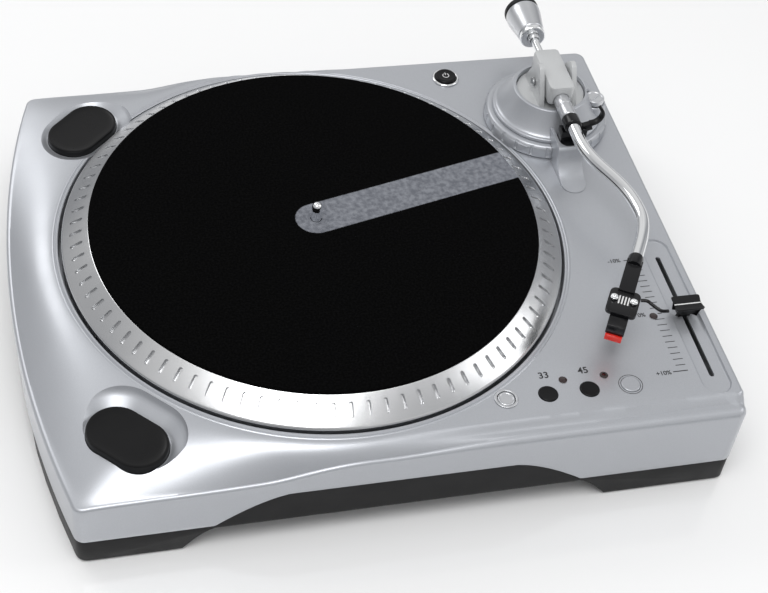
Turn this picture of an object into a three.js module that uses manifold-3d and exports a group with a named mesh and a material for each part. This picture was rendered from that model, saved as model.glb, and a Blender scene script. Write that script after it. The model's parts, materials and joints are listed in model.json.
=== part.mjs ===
// Belt-driven record player with an S-shaped arm, built in millimetres with +Z up.
// Inside the builders the spindle axis is x = y = 0 and the floor is z = 0.
// The finished assembly is moved so that its origin is the bottom centre of its bounding box.
import * as THREE from 'three';
import { mergeVertices } from 'three/addons/utils/BufferGeometryUtils.js';
import Module from 'manifold-3d';

const wasm = await Module();
wasm.setup();

// ---------------------------------------------------------------- driving dimensions

const GAP = 0.3; // between two pieces that touch
const RUNNING_GAP = 0.2; // between a turning or sliding piece and its guide

// platter and slipmat
const PLATTER_RADIUS = 168;
const PLATTER_THICKNESS = 4;
const PLATTER_LIFT = 13.5; // playing face above the deck
const PLATTER_BEVEL = 17.5; // width of the sloping ring outside the playing face
const PLATTER_BEVEL_DROP = 12;
const PLATTER_SKIRT = 9.5; // straight rim below the bevel
const MAT_THICKNESS = 2.2;
const SPINDLE_RADIUS = 3.6;
const SPINDLE_RISE = 14; // tip above the mat

// plinth, measured out from the spindle
const FRONT_MARGIN = 19.5; // platter edge to front face
const BACK_MARGIN = 4.5; // platter edge to back face
const LEFT_MARGIN = 35.5; // platter edge to the fullest point of the left side
const RIGHT_MARGIN = 53; // arm pivot to right face
const LEFT_BOW = 25.5; // how far the left side bows out between its corners
const CORNER_RADIUS = 7;
const SHELL_WALL = 3;
const SHELL_HEIGHT = 52.5; // shell's lower edge to deck
const BASE_BAND = 20; // visible height of the dark base at a foot
const FOOT_LIFT = 1.5; // rubber pads hold the base off the floor
const ARCH_RISE = 17; // underside between the feet above the foot bottoms
const SHELL_ARCH_RISE = 23.5; // shell's edge between the feet above its edge at a foot
const FOOT_LENGTH = { left: 62, right: 84, front: 86, back: 40 }; // along the front and the side
const ARCH_SLANT = 21; // run of the slope up from a foot
const SHELL_ARCH_SLANT = 46;

// deck form
const WELL_GAP = 2; // round the platter
const WELL_DEPTH = 16;
const LIP_WIDTH = 3.5;
const LIP_RISE = 0.8;
const CREASE_DROP = 21; // how far the deck falls to the front left corner
const BACK_DROP = 8.4; // how far it falls to the back left corner
const VALLEY_DROP = 4.5;
const SHOULDER_DROP = 7;

// start and stop buttons
const START_BUTTON = { length: 54, width: 36, height: 12, corner: 1.6 };
const FRONT_BUTTON_BEYOND = 37; // platter edge to the front button's centre
const REAR_BUTTON_BEYOND = 24;
const DISH_FLARE = 6;
const DISH_DEPTH = 10;

// row of small controls near the front edge
const CONTROL_ROW_INSET = 30.5; // from the front face
const CONTROL_PITCH = 27.5;
const LAMP_BEYOND_LIP = 7.966; // lip of the well to the lamp's centre
const KEY_RADIUS = 6.2;
const KEY_HEIGHT = 7;
const KEY_PROUD = 0.8;
const LED_RADIUS = 2;
const POWER_RADIUS = 8;
const POWER_RING = 2.2;

// pitch fader
const FADER_INSET = 15.5; // slot centre from the right face
const FADER_TRAVEL = 100;
const FADER_SLOT = 3.4;
const FADER_DISH_WIDTH = 19;
const FADER_FRONT_INSET = 15.5; // dish end from the front face
const FADER_DISH_MARGIN = 19; // dish beyond the knob's travel at each end
const KNOB = { width: 20, length: 13, height: 9 };

// drive
const SUB_RIM_RADIUS = 88;
const PULLEY_RADIUS = 7;
const MOTOR_REACH = 116;
const MOTOR_ANGLE = 150;
const MOTOR_RADIUS = 18;
const MOTOR_HEIGHT = 24;
const BELT_WIDTH = 5;
const BELT_THICKNESS = 0.8;

// tonearm, measured from its pivot
const PIVOT_BEYOND_PLATTER = 48.466; // platter edge to the arm's pivot
const PIVOT_Y = 99;
const ARM_HEIGHT = 36; // arm axis above the deck
const ARM_BASE_RADIUS = 45.5;
const ARM_BASE_HEIGHT = 10;
const DOME_FOOT_RADIUS = 39.8;
const DOME_TOP_RADIUS = 26.5;
const DOME_HEIGHT = 19.5;
const YOKE_RADIUS = 24.6;
const BLOCK = { width: 19, height: 15.5, front: 22, back: 23 };
const COLLAR_RADIUS = 5.6;
const COLLAR_END = 42;
const SLEEVE_RADIUS = 6.2;
const SLEEVE_END = 52;
const TUBE_RADIUS = 4.4;
const TUBE_SWAY = 19; // sideways reach of the S
const TUBE_BEND = 140; // where the sway is greatest
const TUBE_END = new THREE.Vector2(2.6, -181);
const HEAD_ANGLE = 30; // degrees that the headshell turns inward
const HEADSHELL = { neck: 10.5, plate: 20, neckLength: 31, length: 53, thickness: 3 };
const HEAD_SCREW_SPACING = 12.7;
const HEAD_SCREW_PLACE = 41;
const STYLUS_CLEARANCE = 1.5; // parked stylus above the mat
const SHAFT_RADIUS = 2.9;
const SHAFT_END = 72;
const WEIGHT = { near: 54, far: 78.5, nearRadius: 9.8, farRadius: 13 };
const WEIGHT_SLEEVE_RADIUS = 4.3;
const WEIGHT_TRAVEL = 6;

// ---------------------------------------------------------------- dependent positions

const PLINTH_FRONT = PLATTER_RADIUS + FRONT_MARGIN;
const PLINTH_BACK = PLATTER_RADIUS + BACK_MARGIN;
const PLINTH_LEFT = PLATTER_RADIUS + LEFT_MARGIN;
const PIVOT_X = Math.sqrt((PLATTER_RADIUS + PIVOT_BEYOND_PLATTER) ** 2 - PIVOT_Y ** 2);
const PLINTH_RIGHT = PIVOT_X + RIGHT_MARGIN;
const PLINTH_HALF_DEPTH = (PLINTH_FRONT + PLINTH_BACK) / 2;
const PLINTH_MID_Y = (PLINTH_BACK - PLINTH_FRONT) / 2;
const SHELL_EDGE_Z = FOOT_LIFT + BASE_BAND;
const DECK_Z = SHELL_EDGE_Z + SHELL_HEIGHT;
const ARCH_Z = FOOT_LIFT + ARCH_RISE;
const SHELL_ARCH_Z = SHELL_EDGE_Z + SHELL_ARCH_RISE;
const BASE_FLOOR_Z = ARCH_Z + SHELL_WALL;
const WELL_RADIUS = PLATTER_RADIUS + WELL_GAP;
const WELL_Z = DECK_Z - WELL_DEPTH;
const FLAT_RADIUS = WELL_RADIUS + LIP_WIDTH;
const PLATTER_TOP_Z = DECK_Z + PLATTER_LIFT;
const MAT_Z = PLATTER_TOP_Z + GAP;
const MAT_TOP_Z = MAT_Z + MAT_THICKNESS;
const RIM_BOTTOM_Z = PLATTER_TOP_Z - PLATTER_BEVEL_DROP - PLATTER_SKIRT;
const WEB_Z = PLATTER_TOP_Z - PLATTER_THICKNESS;
const CONTROL_ROW_Y = CONTROL_ROW_INSET - PLINTH_FRONT;
const FADER_X = PLINTH_RIGHT - FADER_INSET;
const FADER_HALF_DISH = FADER_TRAVEL / 2 + FADER_DISH_MARGIN;
const FADER_Y = FADER_FRONT_INSET + FADER_HALF_DISH - PLINTH_FRONT;
const ARM_Z = DECK_Z + ARM_HEIGHT;
const DOME_Z = DECK_Z + GAP + ARM_BASE_HEIGHT + GAP;
const DOME_TOP_Z = DOME_Z + DOME_HEIGHT;
const MOTOR_X = MOTOR_REACH * Math.cos(THREE.MathUtils.degToRad(MOTOR_ANGLE));
const MOTOR_Y = MOTOR_REACH * Math.sin(THREE.MathUtils.degToRad(MOTOR_ANGLE));
const BELT_Z = RIM_BOTTOM_Z + 1.5;

// ---------------------------------------------------------------- materials

const FINISHES = {
  silverPaint: { color: 0xb9bcc2, roughness: 0.38, metalness: 0.55 },
  blackPlastic: { color: 0x1b1b1d, roughness: 0.55, metalness: 0 },
  glossBlack: { color: 0x0c0c0d, roughness: 0.18, metalness: 0 },
  greyPlastic: { color: 0xaaacb0, roughness: 0.45, metalness: 0.1 },
  aluminium: { color: 0xd0d2d5, roughness: 0.22, metalness: 0.95 },
  chrome: { color: 0xe4e6ea, roughness: 0.08, metalness: 1 },
  steel: { color: 0xa5a8ac, roughness: 0.3, metalness: 0.9 },
  brass: { color: 0xb9924a, roughness: 0.3, metalness: 0.9 },
  felt: { color: 0x0b0b0c, roughness: 0.95, metalness: 0 },
  rubber: { color: 0x141414, roughness: 0.85, metalness: 0 },
  board: { color: 0x1f5a36, roughness: 0.6, metalness: 0 },
  red: { color: 0xc8201c, roughness: 0.35, metalness: 0 },
  ledRed: { color: 0x3a0f0f, roughness: 0.2, metalness: 0 },
  sockets: { color: 0xd8d8d4, roughness: 0.4, metalness: 0.2 },
};

/** A material of its own for one mesh. */
function finish(name) {
  return new THREE.MeshStandardMaterial(FINISHES[name]);
}

// ---------------------------------------------------------------- solids from geometry

/** Six times the enclosed volume, whose sign says which way the faces point. */
function signedVolume(position, index) {
  const [a, b, c] = [new THREE.Vector3(), new THREE.Vector3(), new THREE.Vector3()];
  let total = 0;
  for (let i = 0; i < index.length; i += 3) {
    a.fromBufferAttribute(position, index[i]);
    b.fromBufferAttribute(position, index[i + 1]);
    c.fromBufferAttribute(position, index[i + 2]);
    total += a.dot(b.cross(c));
  }
  return total;
}

/** Turns a closed three.js geometry into a solid that can be cut and joined. */
function solid(geometry) {
  const bare = geometry.clone();
  bare.deleteAttribute('normal');
  bare.deleteAttribute('uv');
  const merged = mergeVertices(bare, 1e-4);
  const source = merged.index.array;
  const kept = [];
  for (let i = 0; i < source.length; i += 3) {
    const [p, q, r] = [source[i], source[i + 1], source[i + 2]];
    if (p !== q && q !== r && r !== p) kept.push(p, q, r);
  }
  if (signedVolume(merged.getAttribute('position'), kept) < 0) kept.reverse();
  return new wasm.Manifold(new wasm.Mesh({
    numProp: 3,
    vertProperties: new Float32Array(merged.getAttribute('position').array),
    triVerts: new Uint32Array(kept),
  }));
}

/** Turns a solid back into a three.js geometry. */
function geometryOf(body) {
  const mesh = body.getMesh();
  const geometry = new THREE.BufferGeometry();
  geometry.setAttribute('position', new THREE.BufferAttribute(new Float32Array(mesh.vertProperties), 3));
  geometry.setIndex(new THREE.BufferAttribute(new Uint32Array(mesh.triVerts), 1));
  geometry.computeVertexNormals();
  return geometry;
}

function unite(...bodies) {
  return bodies.reduce((sum, body) => sum.add(body));
}

/** Upright prism of a flat outline. */
function prism(shape, bottom, top, curveSegments = 6) {
  const options = { depth: top - bottom, bevelEnabled: false, curveSegments };
  return solid(new THREE.ExtrudeGeometry(shape, options).translate(0, 0, bottom));
}

/** Upright prism whose top and bottom edges are rounded inward by round. */
function softPrism(shape, bottom, top, round, steps = 1, curveSegments = 6) {
  const options = {
    depth: top - bottom - 2 * round,
    bevelThickness: round,
    bevelSize: round,
    bevelOffset: -round,
    bevelSegments: steps,
    curveSegments,
  };
  return solid(new THREE.ExtrudeGeometry(shape, options).translate(0, 0, bottom + round));
}

function cylinder(radius, bottom, top, x = 0, y = 0, segments = 20) {
  const geometry = new THREE.CylinderGeometry(radius, radius, top - bottom, segments);
  return solid(geometry.rotateX(Math.PI / 2).translate(x, y, (top + bottom) / 2));
}

/** Cylinder along X from x0 to x1. */
function barX(radius, x0, x1, y, z, segments = 16) {
  const geometry = new THREE.CylinderGeometry(radius, radius, x1 - x0, segments);
  return solid(geometry.rotateZ(Math.PI / 2).translate((x0 + x1) / 2, y, z));
}

/** Cylinder along Y from y0 to y1. */
function barY(radius, y0, y1, x, z, segments = 16) {
  const geometry = new THREE.CylinderGeometry(radius, radius, y1 - y0, segments);
  return solid(geometry.translate(x, (y0 + y1) / 2, z));
}

function box(x0, x1, y0, y1, z0, z1) {
  const geometry = new THREE.BoxGeometry(x1 - x0, y1 - y0, z1 - z0);
  return solid(geometry.translate((x0 + x1) / 2, (y0 + y1) / 2, (z0 + z1) / 2));
}

/** Turned solid from [radius, height] pairs that close on themselves or on the axis. */
function turned(pairs, segments = 32) {
  const points = pairs.map(([radius, height]) => new THREE.Vector2(radius, height));
  return solid(new THREE.LatheGeometry(points, segments).rotateX(Math.PI / 2));
}

/** Turned ring: the closed profile's first pair is repeated at its end. */
function turnedRing(pairs, segments = 32) {
  return turned([...pairs, pairs[0]], segments);
}

/** Turned solid about the Y axis, from [radius, y] pairs. */
function turnedAlongY(pairs, segments = 24) {
  const points = pairs.map(([radius, y]) => new THREE.Vector2(radius, y));
  return solid(new THREE.LatheGeometry([...points, points[0]], segments));
}

/** Solid block whose unit cube is carried to its real place by place(u, v, w). */
function formedBlock(uSteps, vSteps, place) {
  const geometry = new THREE.BoxGeometry(1, 1, 1, uSteps, vSteps, 1).translate(0.5, 0.5, 0.5);
  const position = geometry.getAttribute('position');
  const spot = new THREE.Vector3();
  for (let i = 0; i < position.count; i += 1) {
    spot.fromBufferAttribute(position, i);
    const moved = place(spot.x, spot.y, spot.z);
    position.setXYZ(i, moved.x, moved.y, moved.z);
  }
  return solid(geometry);
}

/** Prism of an outline drawn in the YZ plane, from x0 to x1. */
function prismAlongX(shape, x0, x1) {
  const options = { depth: x1 - x0, bevelEnabled: false, curveSegments: 6 };
  const geometry = new THREE.ExtrudeGeometry(shape, options);
  return solid(geometry.rotateX(Math.PI / 2).rotateZ(Math.PI / 2).translate(x0, 0, 0));
}

/** Prism of an outline drawn in the XZ plane, from y0 to y1. */
function prismAlongY(shape, y0, y1) {
  const options = { depth: y1 - y0, bevelEnabled: false, curveSegments: 6 };
  const geometry = new THREE.ExtrudeGeometry(shape, options);
  return solid(geometry.rotateX(Math.PI / 2).translate(0, y1, 0));
}

// ---------------------------------------------------------------- outlines

function circleShape(radius) {
  return new THREE.Shape().absarc(0, 0, radius, 0, Math.PI * 2, false);
}

/** Slot with round ends, lying along X. */
function stadium(length, width) {
  const radius = width / 2;
  const half = length / 2 - radius;
  const shape = new THREE.Shape();
  shape.moveTo(-half, -radius);
  shape.lineTo(half, -radius);
  shape.absarc(half, 0, radius, -Math.PI / 2, Math.PI / 2, false);
  shape.lineTo(-half, radius);
  shape.absarc(-half, 0, radius, Math.PI / 2, Math.PI * 1.5, false);
  return shape;
}

function roundedRectangle(width, height, radius) {
  const [x, y] = [width / 2, height / 2];
  const shape = new THREE.Shape();
  shape.moveTo(-x + radius, -y);
  shape.lineTo(x - radius, -y);
  shape.quadraticCurveTo(x, -y, x, -y + radius);
  shape.lineTo(x, y - radius);
  shape.quadraticCurveTo(x, y, x - radius, y);
  shape.lineTo(-x + radius, y);
  shape.quadraticCurveTo(-x, y, -x, y - radius);
  shape.lineTo(-x, -y + radius);
  shape.quadraticCurveTo(-x, -y, -x + radius, -y);
  return shape;
}

// The left side is one arc through both left corners and the fullest point.
const SIDE_RADIUS = (PLINTH_HALF_DEPTH ** 2 + LEFT_BOW ** 2) / (2 * LEFT_BOW);
const SIDE_CENTRE_X = SIDE_RADIUS - PLINTH_LEFT;

/** Plan outline of the plinth, drawn inset from its faces. */
function plinthOutline(inset) {
  const [right, front, back] = [PLINTH_RIGHT - inset, inset - PLINTH_FRONT, PLINTH_BACK - inset];
  const corner = Math.max(CORNER_RADIUS - inset, 2);
  const radius = SIDE_RADIUS - inset;
  const sideX = (y) => SIDE_CENTRE_X - Math.sqrt(radius ** 2 - (y - PLINTH_MID_Y) ** 2);
  const bend = Math.asin((back - corner - PLINTH_MID_Y) / radius);
  const shape = new THREE.Shape();
  shape.moveTo(sideX(front) + corner, front);
  shape.lineTo(right - corner, front);
  shape.quadraticCurveTo(right, front, right, front + corner);
  shape.lineTo(right, back - corner);
  shape.quadraticCurveTo(right, back, right - corner, back);
  shape.lineTo(sideX(back) + corner, back);
  shape.quadraticCurveTo(sideX(back), back, sideX(back - corner), back - corner);
  shape.absarc(SIDE_CENTRE_X, PLINTH_MID_Y, radius, Math.PI - bend, Math.PI + bend, false);
  shape.quadraticCurveTo(sideX(front), front, sideX(front) + corner, front);
  return shape;
}

/** Trapezium over the gap between two feet: low edge, high edge and the run of each slope. */
function archShape(low, high, bottom, top, slant, swell = 0) {
  const turn = slant * 0.6 - swell;
  const turnZ = top + swell - (top - bottom) * 0.12;
  const shape = new THREE.Shape();
  shape.moveTo(low - swell, bottom);
  shape.quadraticCurveTo(low + turn, turnZ, low + slant, top + swell);
  shape.lineTo(high - slant, top + swell);
  shape.quadraticCurveTo(high - turn, turnZ, high + swell, bottom);
  return shape;
}

const CORNER_X = LEFT_BOW - PLINTH_LEFT; // left corners of the plan outline
const ARCH_X = [CORNER_X + FOOT_LENGTH.left, PLINTH_RIGHT - FOOT_LENGTH.right];
const ARCH_Y = [FOOT_LENGTH.front - PLINTH_FRONT, PLINTH_BACK - FOOT_LENGTH.back];

/** Gaps between the feet under the dark base, right through both ways. */
function baseArches(swell = 0) {
  const across = archShape(...ARCH_X, -GAP, ARCH_Z, ARCH_SLANT, swell);
  const along = archShape(...ARCH_Y, -GAP, ARCH_Z, ARCH_SLANT, swell);
  const reach = PLINTH_RIGHT + PLINTH_FRONT;
  return unite(prismAlongY(across, -reach, reach), prismAlongX(along, -reach, reach));
}

/** What the silver shell leaves open above its lower edge between the feet. */
function shellArches(shrink) {
  const start = ARCH_SLANT + shrink;
  const options = [SHELL_EDGE_Z - 1, SHELL_ARCH_Z - shrink, SHELL_ARCH_SLANT];
  const across = archShape(ARCH_X[0] + start, ARCH_X[1] - start, ...options);
  const along = archShape(ARCH_Y[0] + start, ARCH_Y[1] - start, ...options);
  const reach = PLINTH_RIGHT + PLINTH_FRONT;
  return unite(prismAlongY(across, -reach, reach), prismAlongX(along, -reach, reach));
}

// ---------------------------------------------------------------- deck form

const smooth = (value) => THREE.MathUtils.smoothstep(value, 0, 1);

/** Distance from the spindle to the plan outline in a direction on the left half. */
function edgeReach(angle) {
  const [dx, dy] = [Math.cos(angle), Math.sin(angle)];
  const along = dx * SIDE_CENTRE_X + dy * PLINTH_MID_Y;
  const side = along + Math.sqrt(along ** 2 + SIDE_RADIUS ** 2 - SIDE_CENTRE_X ** 2 - PLINTH_MID_Y ** 2);
  const end = dy < 0 ? -PLINTH_FRONT / dy : PLINTH_BACK / Math.max(dy, 1e-6);
  return Math.min(side, end);
}

/** Fall of the deck on the left half, at a share of the way from the lip to the edge. */
function leftDrop(angle, share) {
  const gap = edgeReach(angle) - FLAT_RADIUS;
  const power = 1.5 + 10 / gap;
  const toBack = smooth((Math.sin(angle) + 0.35) / 1.05);
  const fullDrop = THREE.MathUtils.lerp(CREASE_DROP, BACK_DROP, toBack) * smooth(gap / 25);
  return fullDrop * Math.min(share, 1) ** power;
}

/** Fall of the deck in front of its crease: a rounded fall at the left, a shoulder at the right. */
function frontDrop(x, share) {
  const held = Math.min(share, 1);
  const shoulder = VALLEY_DROP * smooth(held / 0.45) + SHOULDER_DROP * Math.max(0, (held - 0.6) / 0.4) ** 2;
  return THREE.MathUtils.lerp(leftDrop(-Math.PI / 2, held), shoulder, smooth(x / (PLATTER_RADIUS * 0.65)));
}

/** Height of the deck's surface outside the lip, on the left half. */
function leftDeckZ(x, y) {
  const angle = Math.atan2(y, x);
  const share = (Math.hypot(x, y) - FLAT_RADIUS) / (edgeReach(angle) - FLAT_RADIUS);
  return DECK_Z - leftDrop(angle, Math.max(share, 0));
}

/** The space above the falling left part of the deck. */
function leftFall() {
  const angles = [
    -Math.PI / 2,
    Math.atan2(-PLINTH_FRONT, CORNER_X),
    Math.atan2(PLINTH_BACK, CORNER_X) - 2 * Math.PI,
    -Math.PI * 1.43,
  ];
  return formedBlock(18, 4, (u, v, w) => {
    const part = Math.min(Math.floor(u * 3 + 1e-6), 2);
    const angle = THREE.MathUtils.lerp(angles[part], angles[part + 1], u * 3 - part);
    const reach = THREE.MathUtils.lerp(FLAT_RADIUS, edgeReach(angle) + 4, v);
    const share = (reach - FLAT_RADIUS) / (edgeReach(angle) - FLAT_RADIUS);
    const floor = DECK_Z - leftDrop(angle, share) + 1e-3;
    return new THREE.Vector3(reach * Math.cos(angle), reach * Math.sin(angle), w ? DECK_Z + 20 : floor);
  });
}

/** The space above the shoulder along the right part of the front. */
function frontFall() {
  const depth = PLINTH_FRONT - FLAT_RADIUS;
  return formedBlock(6, 5, (u, v, w) => {
    const x = u * (PLINTH_RIGHT + 4);
    const share = v * 1.2;
    const floor = DECK_Z - frontDrop(x, share) + 1e-3;
    return new THREE.Vector3(x, -FLAT_RADIUS - share * depth, w ? DECK_Z + 20 : floor);
  });
}

// ---------------------------------------------------------------- start and stop buttons

/** Centre, turn and deck height of a start and stop button. */
function startButtonSeat(reach, side) {
  const angle = Math.PI - side * THREE.MathUtils.degToRad(side > 0 ? 42 : 46);
  const [x, y] = [reach * Math.cos(angle), reach * Math.sin(angle)];
  return { x, y, turn: side * 45, z: leftDeckZ(x, y) };
}

const START_SEATS = {
  front: startButtonSeat(PLATTER_RADIUS + FRONT_BUTTON_BEYOND, -1),
  rear: startButtonSeat(PLATTER_RADIUS + REAR_BUTTON_BEYOND, 1),
};

function placed(body, seat) {
  return body.rotate([0, 0, seat.turn]).translate([seat.x, seat.y, seat.z]);
}

/** Bowl round a start button, open upward from the deck's surface. */
function buttonDish() {
  const shape = stadium(START_BUTTON.length + 2, START_BUTTON.width + 2);
  const options = {
    depth: 12,
    bevelThickness: DISH_DEPTH,
    bevelSize: DISH_FLARE,
    bevelSegments: 2,
    curveSegments: 6,
  };
  return solid(new THREE.ExtrudeGeometry(shape, options));
}

function startButton(seat) {
  const shape = stadium(START_BUTTON.length, START_BUTTON.width);
  const [bottom, top] = [-DISH_DEPTH - SHELL_WALL - 2, START_BUTTON.height - DISH_DEPTH - 3];
  return placed(softPrism(shape, bottom, top, START_BUTTON.corner), seat);
}

// ---------------------------------------------------------------- small controls

const CONTROL_FIRST_X = Math.sqrt((FLAT_RADIUS + LAMP_BEYOND_LIP) ** 2 - CONTROL_ROW_Y ** 2);
const CONTROL_X = [0, 1, 2, 3].map((step) => CONTROL_FIRST_X + step * CONTROL_PITCH);
const POWER_PLACE = { x: PIVOT_X - 62.5, y: PLINTH_BACK - 20.5 };
const LED_OFFSET = new THREE.Vector2(12.6, 9.7);
const SPEED_LEDS = [1, 2].map((step) => ({
  x: CONTROL_X[step] + LED_OFFSET.x,
  y: CONTROL_ROW_Y + LED_OFFSET.y,
}));
const PITCH_LED = { x: FADER_X - 22, y: FADER_Y };
const KEY_BOTTOM_Z = DECK_Z + KEY_PROUD - KEY_HEIGHT;
const BOARD_TOP_Z = WELL_Z - SHELL_WALL - 6;

function key(x) {
  const cap = softPrism(circleShape(KEY_RADIUS), KEY_BOTTOM_Z, DECK_Z + KEY_PROUD, 0.6);
  return cap.translate([x, CONTROL_ROW_Y, 0]);
}

function led({ x, y }) {
  const dome = cylinder(LED_RADIUS, DECK_Z - 4, DECK_Z + 0.4, x, y, 16);
  return unite(dome, cylinder(LED_RADIUS + 0.8, DECK_Z - 5, DECK_Z - SHELL_WALL - GAP, x, y, 16));
}

/** Small circuit board with a switch under each key of the control row. */
function mainBoard() {
  const [left, right] = [CONTROL_X[0] + 10, CONTROL_X[3] + 16];
  const [front, back] = [CONTROL_ROW_Y - 10, CONTROL_ROW_Y + 46];
  const plate = box(left, right, front, back, BOARD_TOP_Z - 1.6, BOARD_TOP_Z);
  const parts = CONTROL_X.slice(1).map((x) => (
    box(x - 3, x + 3, CONTROL_ROW_Y - 3, CONTROL_ROW_Y + 3, BOARD_TOP_Z - 0.2, KEY_BOTTOM_Z - 2.3)));
  const chips = [0, 1, 2].map((step) => {
    const start = left + 8 + step * 26;
    return box(start, start + 18, back - 22, back - 8, BOARD_TOP_Z - 0.2, BOARD_TOP_Z + 3);
  });
  return unite(plate, ...parts, ...chips);
}

/** Upright posts that hold the board. */
function boardPosts() {
  const spots = [];
  for (const x of [CONTROL_X[0] + 14, CONTROL_X[3] + 12]) {
    for (const y of [CONTROL_ROW_Y - 6, CONTROL_ROW_Y + 42]) spots.push([x, y]);
  }
  return spots.map(([x, y]) => cylinder(3, FOOT_LIFT + 3, BOARD_TOP_Z - 1.6 - GAP, x, y, 12));
}

/** Press-to-release lamp that lights the stylus, and the dark ring it rises through. */
const LAMP = { radius: 5.6, ring: 1.2, height: 26 };

function lamp() {
  const post = softPrism(circleShape(LAMP.radius), DECK_Z - LAMP.height, DECK_Z + 0.6, 0.5);
  return post.translate([CONTROL_X[0], CONTROL_ROW_Y, 0]);
}

function lampRing() {
  const inner = LAMP.radius + GAP;
  const outer = inner + LAMP.ring;
  const profile = [
    [inner, DECK_Z - 8], [outer - 0.3, DECK_Z - 8], [outer - 0.3, DECK_Z + GAP],
    [outer + 0.5, DECK_Z + GAP], [outer + 0.3, DECK_Z + 0.7], [inner, DECK_Z + 0.7],
  ];
  return turnedRing(profile, 24).translate([CONTROL_X[0], CONTROL_ROW_Y, 0]);
}

function powerRing() {
  const [inner, outer] = [POWER_RADIUS + GAP, POWER_RADIUS + POWER_RING];
  const profile = [
    [inner, DECK_Z - 6], [outer - 1, DECK_Z - 6], [outer - 1, DECK_Z + GAP],
    [outer, DECK_Z + GAP], [outer - 0.3, DECK_Z + 1.3], [inner, DECK_Z + 1.5],
  ];
  return turnedRing(profile, 24).translate([POWER_PLACE.x, POWER_PLACE.y, 0]);
}

function powerButton() {
  const profile = [
    [0, DECK_Z - 8], [POWER_RADIUS, DECK_Z - 8], [POWER_RADIUS, DECK_Z + 1.4],
    [POWER_RADIUS * 0.75, DECK_Z + 2.5], [POWER_RADIUS * 0.4, DECK_Z + 3.1], [0, DECK_Z + 3.3],
  ];
  return turned(profile, 24).translate([POWER_PLACE.x, POWER_PLACE.y, 0]);
}

// ---------------------------------------------------------------- pitch fader

const STEM = { width: 2.4, length: 7 };
const FADER_BODY = { width: 12, height: 15 };

function pitchKnob() {
  const cap = new THREE.Shape();
  const [half, top] = [KNOB.length / 2, DECK_Z + 1.5 + KNOB.height];
  cap.moveTo(-half, DECK_Z + 1.5);
  cap.lineTo(half, DECK_Z + 1.5);
  cap.lineTo(half - 1.5, top);
  cap.quadraticCurveTo(0, top - 3, 1.5 - half, top);
  const grip = prismAlongX(cap, -KNOB.width / 2, KNOB.width / 2);
  const [w, l] = [STEM.width / 2, STEM.length / 2];
  const stem = box(-w, w, -l, l, DECK_Z - 14, DECK_Z + 2);
  return unite(grip, stem).translate([FADER_X, FADER_Y, 0]);
}

function faderBody() {
  const half = FADER_TRAVEL / 2 + STEM.length / 2;
  const top = DECK_Z - SHELL_WALL - GAP;
  const [w, l] = [FADER_BODY.width / 2, half + 9];
  const casing = box(-w, w, -l, l, top - FADER_BODY.height, top);
  const slot = box(-STEM.width / 2 - 0.4, STEM.width / 2 + 0.4, -half - 1, half + 1, top - 12.5, top + 1);
  return casing.subtract(slot).translate([FADER_X, FADER_Y, 0]);
}

/** Posts from the base floor to the fader's two ends. */
function faderPosts() {
  const top = DECK_Z - SHELL_WALL - GAP - FADER_BODY.height - GAP;
  const end = FADER_TRAVEL / 2 + STEM.length / 2 + 4;
  return [-end, end].map((y) => cylinder(3.5, FOOT_LIFT + 3, top, FADER_X, FADER_Y + y, 12));
}

/** Cuts the fader's shallow dish and its slot. */
function faderCut() {
  const shape = stadium(2 * FADER_HALF_DISH - 4, FADER_DISH_WIDTH - 4);
  const options = { depth: 4, bevelThickness: 1.8, bevelSize: 2, bevelSegments: 1, curveSegments: 6 };
  const dish = solid(new THREE.ExtrudeGeometry(shape, options).rotateZ(Math.PI / 2));
  const slotLength = FADER_TRAVEL + STEM.length + 4;
  const slot = box(-FADER_SLOT / 2, FADER_SLOT / 2, -slotLength / 2, slotLength / 2, -10, 5);
  return unite(dish, slot).translate([FADER_X, FADER_Y, DECK_Z]);
}

// ---------------------------------------------------------------- rear connections

const REAR_PANEL = { x: 172, z: 51, width: 78, height: 20, thickness: 2 };
const INLET = { x: -130, z: 46, width: 24, height: 18, depth: 22, pinRecess: 7 };
const SOCKETS = { left: -28, right: -11, radius: 4.2, reach: 9 };
const TERMINAL_X = 9;
const SWITCH = { x: 26, travel: 3, width: 10, height: 5 };
const REAR_FACE_Y = PLINTH_BACK;

function rearPanel() {
  const shape = roundedRectangle(REAR_PANEL.width, REAR_PANEL.height, 2);
  const plate = prismAlongY(shape, -REAR_PANEL.thickness, 0);
  const holes = [SOCKETS.left, SOCKETS.right].map((x) => barY(SOCKETS.radius + GAP, -5, 5, x, 0));
  const terminal = barY(2, -5, 5, TERMINAL_X, 0, 16);
  const slot = box(SWITCH.x - 4, SWITCH.x + 4, -5, 5, -2, 2);
  const cut = unite(...holes, terminal, slot);
  return plate.subtract(cut).translate([REAR_PANEL.x, REAR_FACE_Y - 0.5, REAR_PANEL.z]);
}

/** Hollow phono socket with a flange behind the panel. */
function phonoSocket(offset) {
  const { radius, reach } = SOCKETS;
  const flange = barY(radius + 2, -12, -REAR_PANEL.thickness - GAP, 0, 0);
  const barrel = unite(barY(radius, -12, reach, 0, 0), flange);
  const bore = barY(1.7, -8, reach + 1, 0, 0, 16);
  return barrel.subtract(bore).translate([REAR_PANEL.x + offset, REAR_FACE_Y - 0.5, REAR_PANEL.z]);
}

/** Earth terminal with a knurled thumb nut. */
function groundTerminal() {
  const post = barY(1.6, -12, 10, 0, 0, 12);
  const nut = barY(4, GAP, 6, 0, 0, 14);
  const backNut = barY(3.4, -6, -REAR_PANEL.thickness - GAP, 0, 0, 6);
  return unite(post, nut, backNut).translate([REAR_PANEL.x + TERMINAL_X, REAR_FACE_Y - 0.5, REAR_PANEL.z]);
}

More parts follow.
